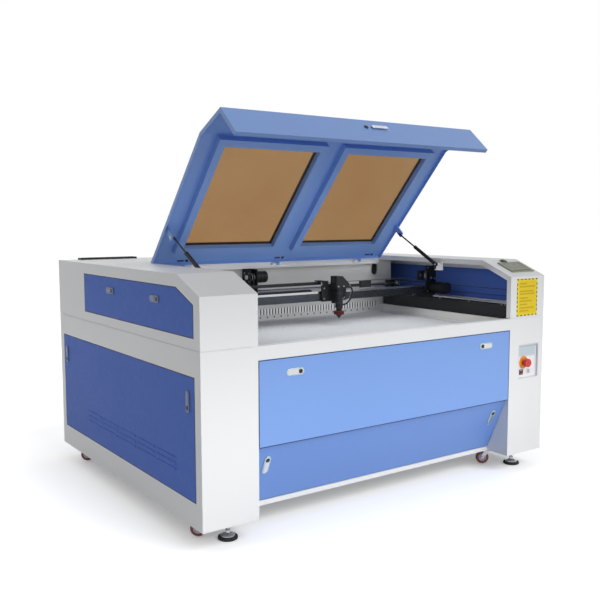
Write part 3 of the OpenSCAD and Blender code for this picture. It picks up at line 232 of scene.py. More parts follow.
# Painted shadow: a dark blue for the shadow in the gaps round the panels and along their edges.
gap_shadow_blue = finish("gap_shadow_blue", rgb(34, 50, 92), 0.6, vary=0.05)
# Painted light: a whiter white than the bay's wall paint, for the lit bars between the exhaust slots.
lit_bar_white = finish("lit_bar_white", rgb(252, 252, 252), 0.5, vary=0.01)
white_label = finish("white_label", rgb(240, 241, 242), 0.5, vary=0.01)
hub_grey = finish("hub_grey", rgb(150, 152, 154), 0.45, vary=0.05)
dark_case = finish("dark_case", rgb(60, 63, 68), 0.4, vary=0.05, bump=0.00006)
# Painted shade: dark blue for the inside of the hinge slots under the lid.
slot_shade_blue = finish("slot_shade_blue", rgb(44, 58, 96), 0.5, vary=0.05)


def tinted_acrylic():
    paint = Nodes("tinted_acrylic")
    cloudy = paint.noise(3.0, 3.0)
    paint.feed(paint.mix(cloudy, rgb(158, 122, 82), rgb(170, 134, 93)), "Base Color")
    paint.set(Roughness=0.22, Transmission_Weight=0.92, IOR=1.2)
    return paint.material


def clear_tube():
    paint = Nodes("clear_tube")
    paint.feed(paint.mix(paint.noise(8.0), rgb(205, 222, 228), rgb(225, 236, 240)), "Base Color")
    paint.set(Roughness=0.08, Transmission_Weight=0.8, IOR=1.3)
    return paint.material


def lens_finish():
    """Black anodised cone and tube, and the maroon ring between them."""
    paint = Nodes("lens_finish")
    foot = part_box("lens_tube")[0].z
    split = paint.add("ShaderNodeSeparateXYZ")
    paint.join(paint.object_place, split.inputs["Vector"])
    above_foot, above_head = (paint.work_out("GREATER_THAN", split.outputs["Z"], foot + height)
                              for height in (0.0175, 0.0345))
    ring = paint.work_out("SUBTRACT", above_foot, above_head)
    paint.feed(paint.mix(ring, rgb(20, 20, 22), rgb(84, 22, 29)), "Base Color")
    paint.set(Roughness=0.35, Metallic=0.4)
    return paint.material


acrylic = tinted_acrylic()
glass = clear_tube()
lens_paint = lens_finish()

node_finishes = {
    white_paint: ("lower_cabinet", "upper_cabinet", "rear_hatch", "lid_hinges"),
    blue_paint: ("lid_shell", "front_upper_panel", "rear_panel"),
    shaded_slant_blue: ("front_lower_panel",),
    shaded_side_blue: ("left_upper_panel", "left_lower_panel", "right_upper_panel", "right_lower_panel"),
    liner_paint: ("bay_liner", "rear_bulkhead"),
    black_paint: ("y_motor", "gantry_carriages", "x_motor", "beam_mirror", "head_carriage", "laser_head",
                  "tube_supports", "left_strut_cylinder", "right_strut_cylinder"),
    rail_paint: ("y_rails",),
    rubber: ("y_belts", "x_belt", "air_hose"),
    zinc: ("exhaust_collar", "front_left_fork", "front_right_fork", "rear_left_fork", "rear_right_fork"),
    lock_metal: ("front_upper_locks", "front_lower_locks"),
    shaded_side_lock_metal: ("left_upper_locks", "left_lower_locks"),
    chrome: ("lid_handle", "key_switch"),
    ground_steel: ("drive_shaft", "x_guide"),
    beam_finish: ("gantry_beam",),
    bed_aluminium: ("slat_table", "honeycomb_bed"),
    acrylic: ("lid_windows",),
    glass: ("laser_tube",),
    lens_paint: ("lens_tube",),
    maroon_plastic: ("front_left_wheel", "front_right_wheel", "rear_left_wheel", "rear_right_wheel"),
    red_plastic: ("emergency_stop",),
    maroon_ring: ("power_switch",),
    olive_plastic: ("control_panel",),
    grey_plate: ("switch_plate",),
    dark_case: ("laser_power_supply", "motion_controller"),
    black_plastic: ("levelling_feet", "cable_chain", "left_strut_rod", "right_strut_rod"),
}
for material, names in node_finishes.items():
    for name in names:
        nodes[name].data.materials.clear()
        nodes[name].data.materials.append(material)


# ---------- shapes ----------

def new_object(name, data):
    made = bpy.data.objects.new(name, data)
    bpy.context.scene.collection.objects.link(made)
    return made


class Shape:
    """Collects closed forms into one mesh."""

    def __init__(self):
        self.bm = bmesh.new()

    def block(self, low, high):
        made = bmesh.ops.create_cube(self.bm, size=1)["verts"]
        size = high - low
        for v in made:
            v.co = Vector((v.co.x * size.x, v.co.y * size.y, v.co.z * size.z)) + (low + high) / 2

    def skin(self, rings):
        """Closes a row of rings of vertices, with faces between them and one at each end."""
        for low, high in zip(rings, rings[1:]):
            for k in range(len(low)):
                after = (k + 1) % len(low)
                self.bm.faces.new((low[k], low[after], high[after], high[k]))
        self.bm.faces.new(rings[0][::-1])
        self.bm.faces.new(rings[-1])

    def lathe(self, origin, axis, profile, steps=32):
        """profile: (distance along the axis, radius) pairs, from one end to the other."""
        turn = Vector(axis).to_track_quat("Z", "Y").to_matrix()
        self.skin([[self.bm.verts.new(origin + turn @ Vector((x, y, along)))
                    for x, y in circle(radius, steps)] for along, radius in profile])

    def plate(self, origin, along, out, outline, thick):
        """A flat outline in the plane through origin, normal to out, made thick along out."""
        along, out = Vector(along).normalized(), Vector(out).normalized()
        across = out.cross(along)
        self.skin([[self.bm.verts.new(origin + along * u + across * v + out * height)
                    for u, v in outline] for height in (0, thick)])

    def done(self, name, material, body, bevel=0.0, slot=None, turn=None, segments=2):
        if turn:
            self.bm.transform(turn)
        bmesh.ops.recalc_face_normals(self.bm, faces=self.bm.faces)
        mesh = bpy.data.meshes.new(name)
        self.bm.to_mesh(mesh)
        self.bm.free()
        mesh.materials.append(material)
        mesh.polygons.foreach_set("use_smooth", [True] * len(mesh.polygons))
        mesh.set_sharp_from_angle(angle=math.radians(35))
        piece = new_object(name, mesh)
        if bevel:
            rounding = piece.modifiers.new("rounding", "BEVEL")
            rounding.width = bevel
            rounding.segments = segments
            rounding.limit_method = "ANGLE"
        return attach(piece, body)


def stadium(length, breadth, steps=10):
    """Outline of a bar with round ends, long along the first axis."""
    half, radius = (length - breadth) / 2, breadth / 2
    ends = []
    for side in (1, -1):
        for k in range(steps + 1):
            angle = math.pi * (k / steps - 0.5)
            ends.append((side * (half + radius * math.cos(angle)), side * radius * math.sin(angle)))
    return ends


def circle(radius, steps):
    angles = (math.tau * k / steps for k in range(steps))
    return [(radius * math.cos(angle), radius * math.sin(angle)) for angle in angles]


def rectangle(x0, x1, y0, y1):
    return [(x0, y0), (x1, y0), (x1, y1), (x0, y1)]


# ---------- flush locks ----------

lock_l, lock_w, lock_h = 0.082, 0.028, 0.004
slant_run, slant_rise = 0.108, 0.246
slant_foot = Vector((0, 0.121, 0.022))
slant_angle = math.atan2(slant_run, slant_rise)
slant_length = math.hypot(slant_run, slant_rise)
slant_up = Vector((0, -math.sin(slant_angle), math.cos(slant_angle)))
slant_out = Vector((0, -math.cos(slant_angle), -math.sin(slant_angle)))


def locks(name, body, places, along, out, replaces, plate_metal=lock_metal, flap_metal=chrome):
    """Lock plates with a flap at one end and a key barrel at the other. along may differ for each lock."""
    plates, flaps, barrels = Shape(), Shape(), Shape()
    normal = Vector(out)
    for place, direction in zip(places, along):
        direction = Vector(direction)
        plates.plate(place, direction, normal, stadium(lock_l, lock_w), lock_h)
        top = place + normal * lock_h
        flaps.plate(top - direction * 0.010, direction, normal, stadium(0.050, 0.020), 0.0012)
        barrels.lathe(top + direction * 0.0235, normal,
                      [(0, 0.0088), (0.0010, 0.0086), (0.0014, 0.0060), (0.0006, 0.0052)])
    plate = plates.done(name + "_plates", plate_metal, body, 0.0012, "zinc_steel")
    flaps.done(name + "_flaps", flap_metal, body, 0.0005, "zinc_steel", segments=1)
    barrels.done(name + "_barrels", black_plastic, body, slot="black_paint")
    if replaces:
        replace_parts(plate, replaces)


def front_locks():
    upper_in, upper_z = 0.400, 0.540
    locks("front_upper_lock", "front_upper", [cab(x, 0, upper_z) for x in (upper_in, width - upper_in)],
          [right, left], front, "front_upper_locks")
    lower_in = column_w + 0.062
    place = slant_foot + slant_up * (slant_length - 0.090)
    locks("front_lower_lock", "front_lower", [cab(x, place.y, place.z) for x in (lower_in, width - lower_in)],
          [slant_up, slant_up], slant_out, "front_lower_locks")


def side_locks():
    """Two locks on each side panel. The left ones replace CAD nodes, the right ones cover the panel's own."""
    levels = (("upper", (0.363, 0.808), 0.810, front), ("lower", (0.098, 1.378), 0.460, down))
    # The side locks take the darker lock metal for plate and flap: painted shade.
    for side, x, out in (("left", 0, left), ("right", width + 0.0001, right)):
        for level, ys, z, along in levels:
            panel = side + "_" + level
            locks(panel + "_lock", panel, [cab(x, y, z) for y in ys], [along, along], out,
                  panel + "_locks" if side == "left" else None, shaded_side_lock_metal, shaded_side_lock_metal)


front_locks()
side_locks()

# ---------- painted shadow in the gaps round the panels, the vent on the rear deck and the strip at the foot ---

# Width of the painted shadow line along each panel's edge.
edge_shadow_w = 0.0022


def rectangle_loop(u0, u1, v0, v1):
    return lambda inset: rectangle(u0 + inset, u1 - inset, v0 + inset, v1 - inset)


def upper_loop(inset):
    """Outline of the opening of an upper side panel, under the slanted nose."""
    margin, reach, foot, head = opening("left_upper_panel", 1)
    edge, rear, low, high = margin + inset, reach - inset, foot + inset, head - inset
    return [(edge, low), (rear, low), (rear, high),
            (nose_d + edge * math.tan(nose_angle / 2), high),
            (edge, body_h - nose_h - edge * math.tan(math.pi / 4 - nose_angle / 2))]


def gap_shadows():
    """Painted shadow in the gaps round the upright panels: dark strips on the ledge behind, and a dark line
    along the edge of each panel.
    """
    side_loop = rectangle_loop(*opening("left_lower_panel", 1))
    front_loop = rectangle_loop(*front_opening)
    rear_loop = rectangle_loop(*opening("rear_panel", 0))
    # body, origin, direction and outward side of the face, sign of the outline, outline, first edge
    faces = (("left_lower", (0, 0, 0), front, left, -1, side_loop, 0),
             ("left_upper", (0, 0, 0), front, left, -1, upper_loop, 0),
             ("right_lower", (width, 0, 0), back, right, 1, side_loop, 0),
             ("right_upper", (width, 0, 0), back, right, 1, upper_loop, 0),
             ("front_upper", (0, 0, 0), right, front, 1, front_loop, 1),
             ("rear", (0, body_d, 0), left, back, -1, rear_loop, 0))
    strips = Shape()
    for body, origin, along, out, sign, loop, first in faces:
        edge_shadow = Shape()
        wall, gap, edge = loop(0), loop(panel_gap), loop(panel_gap + edge_shadow_w)
        for k in range(first, len(wall)):
            after = (k + 1) % len(wall)
            for shape, outer, inner, low, thick in ((strips, wall, gap, -0.0012, 0.0008),
                                                    (edge_shadow, gap, edge, -0.0002, 0.0003)):
                points = (outer[k], outer[after], inner[after], inner[k])
                shape.plate(cab(*origin) + Vector(out) * low, along, out,
                            [(sign * u, v) for u, v in points], thick)
        edge_shadow.done(body + "_edge_shadow", gap_shadow_blue, body, slot="black_paint")
    # painted shadow in the gap between the two front panels: a dark strip
    end = column_w + 0.003
    strips.block(cab(end, 0.0015, split_z - 0.0018), cab(width - end, 0.012, split_z + 0.0014))
    strips.done("panel_gap_shadows", gap_shadow_blue, "cabinet", slot="black_paint")


def rear_vent():
    """Grille with a rim and a row of fins, which stands on the rear deck."""
    x0, x1, y0, y1 = 0.094, 0.386, 1.408, 1.462
    rim, rim_h = 0.008, 0.009
    fins, fin_w, pitch = 15, 0.006, 0.0177
    grille = Shape()
    for low, high in (((x0, y0), (x1, y0 + rim)), ((x0, y1 - rim), (x1, y1)),
                      ((x0, y0), (x0 + rim, y1)), ((x1 - rim, y0), (x1, y1))):
        grille.block(cab(*low, body_h), cab(*high, body_h + rim_h))
    for k in range(fins):
        x = x0 + 0.022 + k * pitch
        grille.block(cab(x, y0 + 0.006, body_h + 0.001), cab(x + fin_w, y1 - 0.006, body_h + 0.008))
    grille.done("rear_vent", black_plastic, "cabinet", 0.001, "black_paint", segments=1)


def toe_strip():
    """White strip behind the notch at the foot of the left column, on the bottom sheet."""
    strip = Shape()
    strip.block(cab(column_w - 0.0585, 0.0032, 0.002), cab(column_w - 0.001, 0.0046, 0.016))
    strip.done("toe_strip", white_paint, "cabinet", slot="white_paint")


gap_shadows()
rear_vent()
toe_strip()

# ---------- honeycomb ----------


def honeycomb():
    """Cell walls of the honeycomb: a zigzag strip for each row, and the links between the rows."""
    low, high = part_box("honeycomb_bed")
    side, wall, cell_depth, margin = 0.0105, 0.0012, 0.004, 0.004
    rise = side * math.sqrt(3) / 2
    vertices, faces = [], []

    def strip(start, end):
        direction = (end - start).normalized()
        across = Vector((-direction.y, direction.x)) * wall / 2
        base = len(vertices)
        for point in (start - across, end - across, end + across, start + across):
            vertices.append((point.x, point.y, high.z - 0.0003))
        for point in (start - across, end - across, end + across, start + across):
            vertices.append((point.x, point.y, high.z - cell_depth))
        faces.append((base, base + 1, base + 2, base + 3))
        faces.append((base + 4, base + 5, base + 1, base))
        faces.append((base + 6, base + 7, base + 3, base + 2))

    columns = int((high.x - low.x) / (3 * side))
    rows = int((high.y - low.y) / rise) - 1
    origin = Vector((low.x + margin, low.y + margin))
    for row in range(rows):
        for column in range(columns):
            x = column * 3 * side + (row % 2) * 1.5 * side
            here = origin + Vector((x, row * rise))
            strip(here, here + Vector((side, 0)))
            strip(here + Vector((side, 0)), here + Vector((1.5 * side, rise)))
            strip(here + Vector((1.5 * side, rise)), here + Vector((2 * side, rise)))
            strip(here, here + Vector((-0.5 * side, rise)))
    return low, high, vertices, faces


def make_honeycomb():
    """The cell walls that lie within the bed, and a plain core under them."""
    low, high, vertices, faces = honeycomb()
    inside = [all(low.x <= vertices[k][0] <= high.x and low.y <= vertices[k][1] <= high.y for k in face)
              for face in faces]
    mesh = bpy.data.meshes.new("honeycomb_cells")
    mesh.from_pydata(vertices, [], [face for face, keep in zip(faces, inside) if keep])
    mesh.materials.append(bed_aluminium)
    piece = new_object("honeycomb_cells", mesh)
    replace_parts(piece, "honeycomb_bed")
    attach(piece, "cabinet")
    core, core_drop = Shape(), 0.0035
    core.block(low, Vector((high.x, high.y, high.z - core_drop)))
    core.done("honeycomb_core", cell_floor, "cabinet", slot="bed_aluminium")


make_honeycomb()

# ---------- cable chain ----------

chain_y = 0.647
chain_low = 0.769
chain_bend = 0.018
chain_start = 0.940
chain_turn = 0.380
chain_end = 0.997


def chain_path(distance):
    """Point (x, z) and direction at a distance along the chain from its fixed end."""
    lower = chain_start - chain_turn
    half = math.pi * chain_bend
    if distance < lower:
        return Vector((chain_start - distance, chain_low)), math.pi
    if distance < lower + half:
        angle = (distance - lower) / chain_bend
        point = Vector((chain_turn - chain_bend * math.sin(angle),
                        chain_low + chain_bend - chain_bend * math.cos(angle)))
        return point, math.pi - angle
    return Vector((chain_turn + distance - lower - half, chain_low + 2 * chain_bend)), 0.0


def cable_chain():
    """Links, each with two side plates and a bridge across."""
    pitch, plate_l, plate_w, plate_thick = 0.0145, 0.0165, 0.0155, 0.0034
    inner, bridge_l, bridge_h, bridge_w = 0.0075, 0.0070, 0.0136, 0.0152
    bridge = rectangle(-bridge_l / 2, bridge_l / 2, -bridge_h / 2, bridge_h / 2)
    total = chain_start - chain_turn + math.pi * chain_bend + chain_end - chain_turn
    shape = Shape()
    for k in range(int(total / pitch)):
        place, angle = chain_path((k + 0.5) * pitch)
        along = Vector((math.cos(angle), 0, math.sin(angle)))
        middle = cab(place.x, chain_y, place.y)
        for side in (-1, 1):
            shape.plate(middle + Vector((0, side * inner, 0)), along, (0, side, 0),
                        stadium(plate_l, plate_w, 4), plate_thick)
        shape.plate(middle - Vector((0, bridge_w / 2, 0)), along, back, bridge, bridge_w)
    links = shape.done("chain_links", black_plastic, "gantry", 0.0006, "chain_plastic", segments=1)
    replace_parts(links, "cable_chain")


cable_chain()

# ---------- feet and casters ----------

foot_places = [(x, y) for x in (0.151, width - 0.103) for y in (0.087, 1.383)]


def feet():
    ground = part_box("levelling_feet")[0].z - corner.z
    pad = [(0, 0.0355), (0.0015, 0.0378), (0.0075, 0.038), (0.0105, 0.0372), (0.0135, 0.0335),
           (0.0140, 0.030)]
    cap = [(0.0138, 0.0285), (0.0155, 0.0282), (0.0190, 0.0245), (0.0225, 0.0175), (0.0240, 0.0130),
           (0.0262, 0.0100), (0.030, 0.0098)]
    thread = [(0.028 + 0.0015 * k, 0.0059 if k % 2 else 0.0054) for k in range(29)]
    pads, caps, screws = Shape(), Shape(), Shape()
    for x, y in foot_places:
        floor = cab(x, y, ground)
        pads.lathe(floor, up, pad, 48)
        caps.lathe(floor, up, cap, 40)
        screws.lathe(floor, up, thread, 20)
        for low, high in ((0.030, 0.036), (0.070, 0.080)):
            screws.plate(floor + Vector((0, 0, low)), right, up, circle(0.0108, 6), high - low)
    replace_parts(pads.done("foot_pads", rubber, "cabinet", slot="foot_plastic"), "levelling_feet")
    caps.done("foot_caps", chrome, "cabinet", slot="chrome_plate")
    screws.done("foot_screws", zinc, "cabinet", 0.0006, "zinc_steel")


def caster_details():
    """Hubs and axle nuts on both sides of each wheel, and the nut of the swivel."""
    hub = [(0, 0.0185), (0.0005, 0.0182), (0.0006, 0.0150), (0.0002, 0.0140), (0.0003, 0.0085),
           (0.0008, 0.0080)]
    for name in ("front_left", "front_right", "rear_left", "rear_right"):
        axle, axis = Vector(joint(name + "_roll")["pos_m"]), Vector(joint(name + "_roll")["axis"])
        pivot = Vector(joint(name + "_swivel")["pos_m"])
        hubs, nuts = Shape(), Shape()
        for side in (-1, 1):
            hubs.lathe(axle + axis * side * 0.0119, axis * side, hub, 40)
            nuts.plate(axle + axis * side * 0.0155, up, axis * side, circle(0.0068, 6), 0.0042)
        nuts.lathe(pivot - Vector((0, 0, 0.0035)), down, [(0, 0.0075), (0.003, 0.0070), (0.004, 0.0045)], 24)
        hubs.done(name + "_hubs", hub_grey, name + "_roller", slot="grey_plastic")
        nuts.done(name + "_nuts", zinc, name + "_swivel", 0.0005, "zinc_steel")


feet()
caster_details()

# ---------- lid: handle, lock, key ring and hinge marks ----------

lip_z = 0.792
handle_x = 1.003
lid_lock_x = 0.930


def lid_bar():
    bar = Shape()
    bar.plate(cab(handle_x, -0.005, lip_z), right, front, stadium(0.090, 0.018), 0.003)
    post, post_in = [(0, 0.0075), (0.0012, 0.0070), (0.002, 0.004), (0.005, 0.004)], 0.030
    for x in (handle_x - post_in, handle_x + post_in):
        bar.lathe(cab(x, -0.0002, lip_z), front, post)
    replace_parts(bar.done("lid_bar", chrome, "lid", 0.0012, "chrome_plate", OPEN), "lid_handle")


def lid_lock():
    lock = Shape()
    lock.lathe(cab(lid_lock_x, -0.0002, lip_z), front,
               [(0, 0.0105), (0.0022, 0.0103), (0.0035, 0.0085), (0.0036, 0.0045), (0.003, 0.0042)])
    lock.lathe(cab(lid_lock_x, 0.0018, lip_z), back, [(0, 0.008), (0.018, 0.008)])
    lock.done("lid_lock", black_paint, "lid", slot="black_paint", turn=OPEN)


def key_ring():
    """Ring and two keys, which hang straight down from the bar with the lid open."""
    hook = OPEN @ cab(handle_x + 0.033, -0.0085, lip_z)
    steps, sides, tube, radius = 36, 8, 0.0011, 0.0135
    centre = hook - Vector((0, 0.003, radius))
    side = Vector((0.3, 0.85, 0)).normalized()
    ring, rings = Shape(), []
    for k in range(steps):
        angle = math.tau * k / steps
        out = Vector((0.85 * math.cos(angle), -0.3 * math.cos(angle), math.sin(angle)))
        middle = centre + out * radius
        rings.append([ring.bm.verts.new(middle + u * out + v * side) for u, v in circle(tube, sides)])
    for k in range(steps):
        here, after = rings[k], rings[(k + 1) % steps]
        for j in range(sides):
            beside = (j + 1) % sides
            ring.bm.faces.new([here[j], after[j], after[beside], here[beside]])
    key_top = centre - Vector((0, 0, radius - 0.002))
    key = [(-0.004, -0.006), (0.010, -0.009), (0.018, -0.004), (0.040, -0.0035), (0.042, 0.0),
           (0.018, 0.004), (0.010, 0.009), (-0.004, 0.006)]
    for lean, shift in ((-0.35, -0.002), (0.3, 0.002)):
        hang = Vector((math.sin(lean), 0, -math.cos(lean)))
        ring.plate(key_top + Vector((0, shift, 0)), hang, front, key, 0.0014)
    ring.done("key_ring", chrome, "lid", 0.0003, "chrome_plate", segments=1)


def hinge_marks():
    """Slots and screws of the hinges on the underside of the lid's rear edge. The slots are dark plates:
    painted shade inside them.
    """
    y, z = 0.893, 0.9128
    screw = [(0, 0.0075), (0.0022, 0.0070), (0.003, 0.004)]
    slots, screws = Shape(), Shape()
    for x in (0.400, 0.940, 1.530):
        slots.plate(cab(x - 0.012, y, z), right, down, stadium(0.036, 0.010), 0.0006)
        screws.lathe(cab(x + 0.020, y, z + 0.0001), down, screw)
    slots.done("hinge_slots", slot_shade_blue, "lid", slot="black_paint", turn=OPEN)
    screws.done("hinge_screws", black_plastic, "lid", slot="black_paint", turn=OPEN)


lid_bar()
lid_lock()
key_ring()
hinge_marks()

# ---------- plates, display and switches ----------

NOSE = Matrix.Translation(cab(0, 0, body_h - nose_h)) @ Matrix.Rotation(nose_angle, 4, "X")


def warning_field():
    """Bare yellow plate with a dashed border, and a plain darker field with bars on it."""
    x0, x1, z0, z1 = 1.655, 1.799, 0.659, 0.833
    face = -0.0008
    plate, dashes, fields, bars = Shape(), Shape(), Shape(), Shape()
    plate.block(cab(x0, face, z0), cab(x1, 0, z1))
    length, thick, across, tall = 0.012, 0.0055, 6, 9
    for k in range(across):
        x = x0 + k * (x1 - x0 - length) / (across - 1)
        for z in (z0, z1 - thick):
            dashes.block(cab(x, face - 0.0003, z), cab(x + length, face, z + thick))
    for k in range(1, tall - 1):
        z = z0 + k * (z1 - z0 - length) / (tall - 1)
        for x in (x0, x1 - thick):
            dashes.block(cab(x, face - 0.0003, z), cab(x + thick, face, z + length))
    fields.block(cab(x0 + 0.014, face - 0.0002, z0 + 0.010), cab(x1 - 0.010, face, z1 - 0.010))
    bar_x, bar_l, bar_h = x0 + 0.020, 0.106, 0.007
    for height, share in ((0.148, 0.45), (0.134, 1.0), (0.112, 0.9), (0.100, 1.0), (0.080, 0.55),
                          (0.066, 0.8), (0.050, 0.5), (0.034, 0.95), (0.020, 0.6)):
        z = z0 + height
        bars.block(cab(bar_x, face - 0.0004, z), cab(bar_x + bar_l * share, face - 0.0002, z + bar_h))
    plate.done("yellow_plate", yellow_plate, "cabinet", 0.0003, "red_plastic", segments=1)
    dashes.done("plate_dashes", black_plastic, "cabinet", slot="black_paint")
    fields.done("plate_field", yellow_field, "cabinet", slot="red_plastic")
    bars.done("plate_bars", yellow_bar, "cabinet", slot="red_plastic")


def display():
    """Screen, keys and the cap of the port, drawn on the slanted nose and turned with NOSE."""
    x0, x1 = width - 0.171, width - 0.035
    keys_y, key_w, key_d, pitch = 0.051, 0.012, 0.008, 0.0175
    screen, keys, cap = Shape(), Shape(), Shape()
    screen.block(Vector((x0, 0.066, 0.0041)), Vector((x1, 0.136, 0.0052)))
    for k in range(7):
        x = x0 + 0.008 + k * pitch
        keys.block(Vector((x, keys_y, 0.006)), Vector((x + key_w, keys_y + key_d, 0.0072)))
    cap.lathe(Vector((width - 0.122, 0.156, 0.005)), up,
              [(0, 0.0150), (0.002, 0.0148), (0.004, 0.0130), (0.0045, 0.006)], 36)
    screen.done("screen", screen_glass, "cabinet", 0.0006, "grey_plastic", NOSE)
    keys.done("display_keys", dark_case, "cabinet", 0.0006, "grey_plastic", NOSE)
    cap.done("port_cap", black_plastic, "cabinet", slot="black_paint", turn=NOSE)


def switches():
    """Label, board, stop disc, rocker frame and key collar on the switch plate, and the stop's mark."""
    floor = 0.010
    x0, x1 = width - 0.160, width - 0.044
    stop_x, stop_z = width - 0.126, 0.435
    labels, whites, disc, rocker_frame, key_collar, stop_face = (Shape() for _ in range(6))
    labels.block(cab(x0, floor - 0.0012, 0.466), cab(x1, floor, 0.512))
    whites.block(cab(x0, floor - 0.001, 0.365), cab(x1, floor, 0.460))
    disc.lathe(cab(stop_x, floor - 0.0012, stop_z), front,
               [(0, 0.0305), (0.0015, 0.0305), (0.002, 0.030)], 48)
    rocker_x, rocker_w = x0 + 0.005, 0.026
    for low, high, z0, z1 in ((0, 0.0025, 0.378, 0.400), (rocker_w - 0.0025, rocker_w, 0.378, 0.400),
                              (0, rocker_w, 0.3975, 0.401), (0, rocker_w, 0.377, 0.3805)):
        rocker_frame.block(cab(rocker_x + low, floor - 0.003, z0), cab(rocker_x + high, floor, z1))
    key_collar.lathe(cab(width - 0.091, floor - 0.001, 0.391), front,
                     [(0, 0.0135), (0.0025, 0.0132), (0.003, 0.0115), (0.003, 0.0098), (0.0, 0.0098)], 36)
    stop_face.lathe(cab(stop_x, -0.022, stop_z), front,
                    [(-0.0006, 0.0085), (-0.0001, 0.0083), (0, 0.004)], 40)
    labels.done("switch_label", pale_label, "cabinet", 0.0004, "grey_plastic", segments=1)
    whites.done("switch_board", white_label, "cabinet", 0.0004, "white_paint", segments=1)
    disc.done("stop_disc", orange_disc, "cabinet", slot="red_plastic")
    rocker_frame.done("rocker_frame", black_plastic, "cabinet", 0.0004, "black_paint", segments=1)
    key_collar.done("key_collar", chrome, "cabinet", slot="chrome_plate")
    stop_face.done("stop_mark", orange_disc, "stop_button", slot="red_plastic")


warning_field()
display()
switches()

# ---------- exhaust slots in the back wall of the bay ----------


def exhaust_bars():
    """Painted light on the bars between the slots, whose faces are brighter than the wall's paint, and
    painted shade in the slots and the holes under them, as dark insets.
    """
    bay_in = 0.210
    wall_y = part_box("rear_bulkhead")[0].y - corner.y
    bed_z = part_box("honeycomb_bed")[1].z - corner.z
    inset_y = wall_y + 0.0002
    slot_pitch, slot_low, slot_high = 0.018, bed_z + 0.022, bed_z + 0.053
    hole_pitch, hole_w, hole_low, hole_high = 0.042, 0.007, bed_z + 0.006, bed_z + 0.014
    bars, opening_shade = Shape(), Shape()
    for k in range(int((width - 2 * (bay_in + 0.040)) / slot_pitch)):
        x = bay_in + 0.049 + k * slot_pitch
        bars.block(cab(x - 0.0012, wall_y - 0.0006, slot_low), cab(x + 0.0102, wall_y, slot_high))
        opening_shade.block(cab(x - 0.0088, inset_y, slot_low), cab(x - 0.0002, inset_y + 0.0008, slot_high))
    for k in range(int((width - 2 * (bay_in + 0.045)) / hole_pitch) + 1):
        x = bay_in + 0.045 + k * hole_pitch
        opening_shade.block(cab(x, inset_y, hole_low), cab(x + hole_w, inset_y + 0.0008, hole_high))
    bars.done("exhaust_bars", lit_bar_white, "cabinet", slot="white_paint")
    opening_shade.done("exhaust_opening_shade", black_plastic, "cabinet", slot="black_paint")


exhaust_bars()

# ---------- motion system ----------

rail_in, rail_w = 0.200, 0.050
rail_middles = (rail_in - rail_w / 2, width - rail_in + rail_w / 2)
rail_top, guide_top = 0.705, 0.717
gantry_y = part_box("gantry_beam")[0].y - corner.y
beam_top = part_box("gantry_beam")[1].z - corner.z
beam_mirror_x = width - 0.245
head_x, head_y = 1.037, 0.550
shaft = Vector(joint("shaft_turn")["pos_m"]) - corner


def socket_screw(shape, place, out, radius=0.004, height=0.004):
    shape.lathe(place, out, [(0, radius), (height * 0.85, radius), (height, radius * 0.85),
                             (height, radius * 0.5), (height * 0.4, radius * 0.48)], 16)


def band(radius, length, edge, drop):
    """Profile of a ring whose two edges, edge long, fall by drop."""
    return [(0, radius - drop), (edge, radius), (length - edge, radius), (length, radius - drop)]


def guides():
    """Bright guides, their screw holes drawn as dark discs of painted shade, the screws of the rails, and the
    holes of the beam's guide, also dark discs of painted shade.
    """
    half_w, low, high = 0.0071, guide_top - 0.0065, guide_top + 0.0001
    hole, beam_hole = [(0, 0.0035), (0.0001, 0.0034)], [(0, 0.003), (0.0001, 0.0029)]
    screw_in = 0.017
    strips, holes, screws, beam_holes = Shape(), Shape(), Shape(), Shape()
    for x in rail_middles:
        strips.block(cab(x - half_w, 0.060, low), cab(x + half_w, 0.880, high))
        for k in range(17):
            # Painted shade: a dark disc stands for the shade inside each hole.
            holes.lathe(cab(x, 0.085 + k * 0.0475, guide_top + 0.00012), up, hole, 14)
        for y in (0.072, 0.092, 0.300, 0.500, 0.700):
            socket_screw(screws, cab(x - screw_in, y, rail_top), up)
            socket_screw(screws, cab(x + screw_in, y, rail_top), up)
    for k in range(28):
        # Painted shade: a dark disc stands for the shade inside each hole.
        beam_holes.lathe(cab(0.235 + k * 0.050, 0.610, beam_top + 0.0101), up, beam_hole, 12)
    strips.done("guide_strips", ground_steel, "cabinet", slot="guide_steel")
    holes.done("guide_holes", black_plastic, "cabinet", slot="black_paint")
    screws.done("rail_screws", zinc, "cabinet", slot="zinc_steel")
    beam_holes.done("beam_guide_holes", black_plastic, "gantry", slot="black_paint")


def gantry_screws():
    """Screws of the end plates and the carriages, and the bright screws of the beam mirror."""
    screws, bright = Shape(), Shape()
    left_places = [(x, z) for x in (0.168, 0.193) for z in (0.735, 0.750, 0.790)]
    right_places = [(width - inside, z) for inside, z in
                    ((0.190, 0.735), (0.140, 0.800), (0.190, 0.860), (0.140, 0.860))]
    for x, z in left_places + right_places:
        socket_screw(screws, cab(x, gantry_y - 0.006, z), front)
    for x in rail_middles:
        for dx in (-0.016, 0.016):
            for y in (0.580, 0.670):
                socket_screw(screws, cab(x + dx, y, 0.724), up)
    for dx in (0.024, 0.060):
        bright.lathe(cab(beam_mirror_x + dx, gantry_y - 0.027, 0.808), front,
                     [(0, 0.0058), (0.0008, 0.0062), (0.0018, 0.0060), (0.002, 0.003), (0.0026, 0.0028)])
    screws.done("gantry_screws", zinc, "gantry", slot="zinc_steel")
    bright.done("mirror_screws", chrome, "gantry", slot="chrome_plate")


def mirror_disc():
    """Mirror on its plate, at 45 degrees between the two runs of the beam."""
    out = Vector((-1, 1, 0))
    disc = Shape()
    disc.lathe(cab(beam_mirror_x, head_y, 0.822) + out * 0.002842, out.normalized(),
               [(0, 0.0155), (0.0012, 0.0155), (0.0014, 0.0125), (0.0009, 0.0122)], 32)
    disc.done("mirror_disc", chrome, "gantry", slot="chrome_plate")


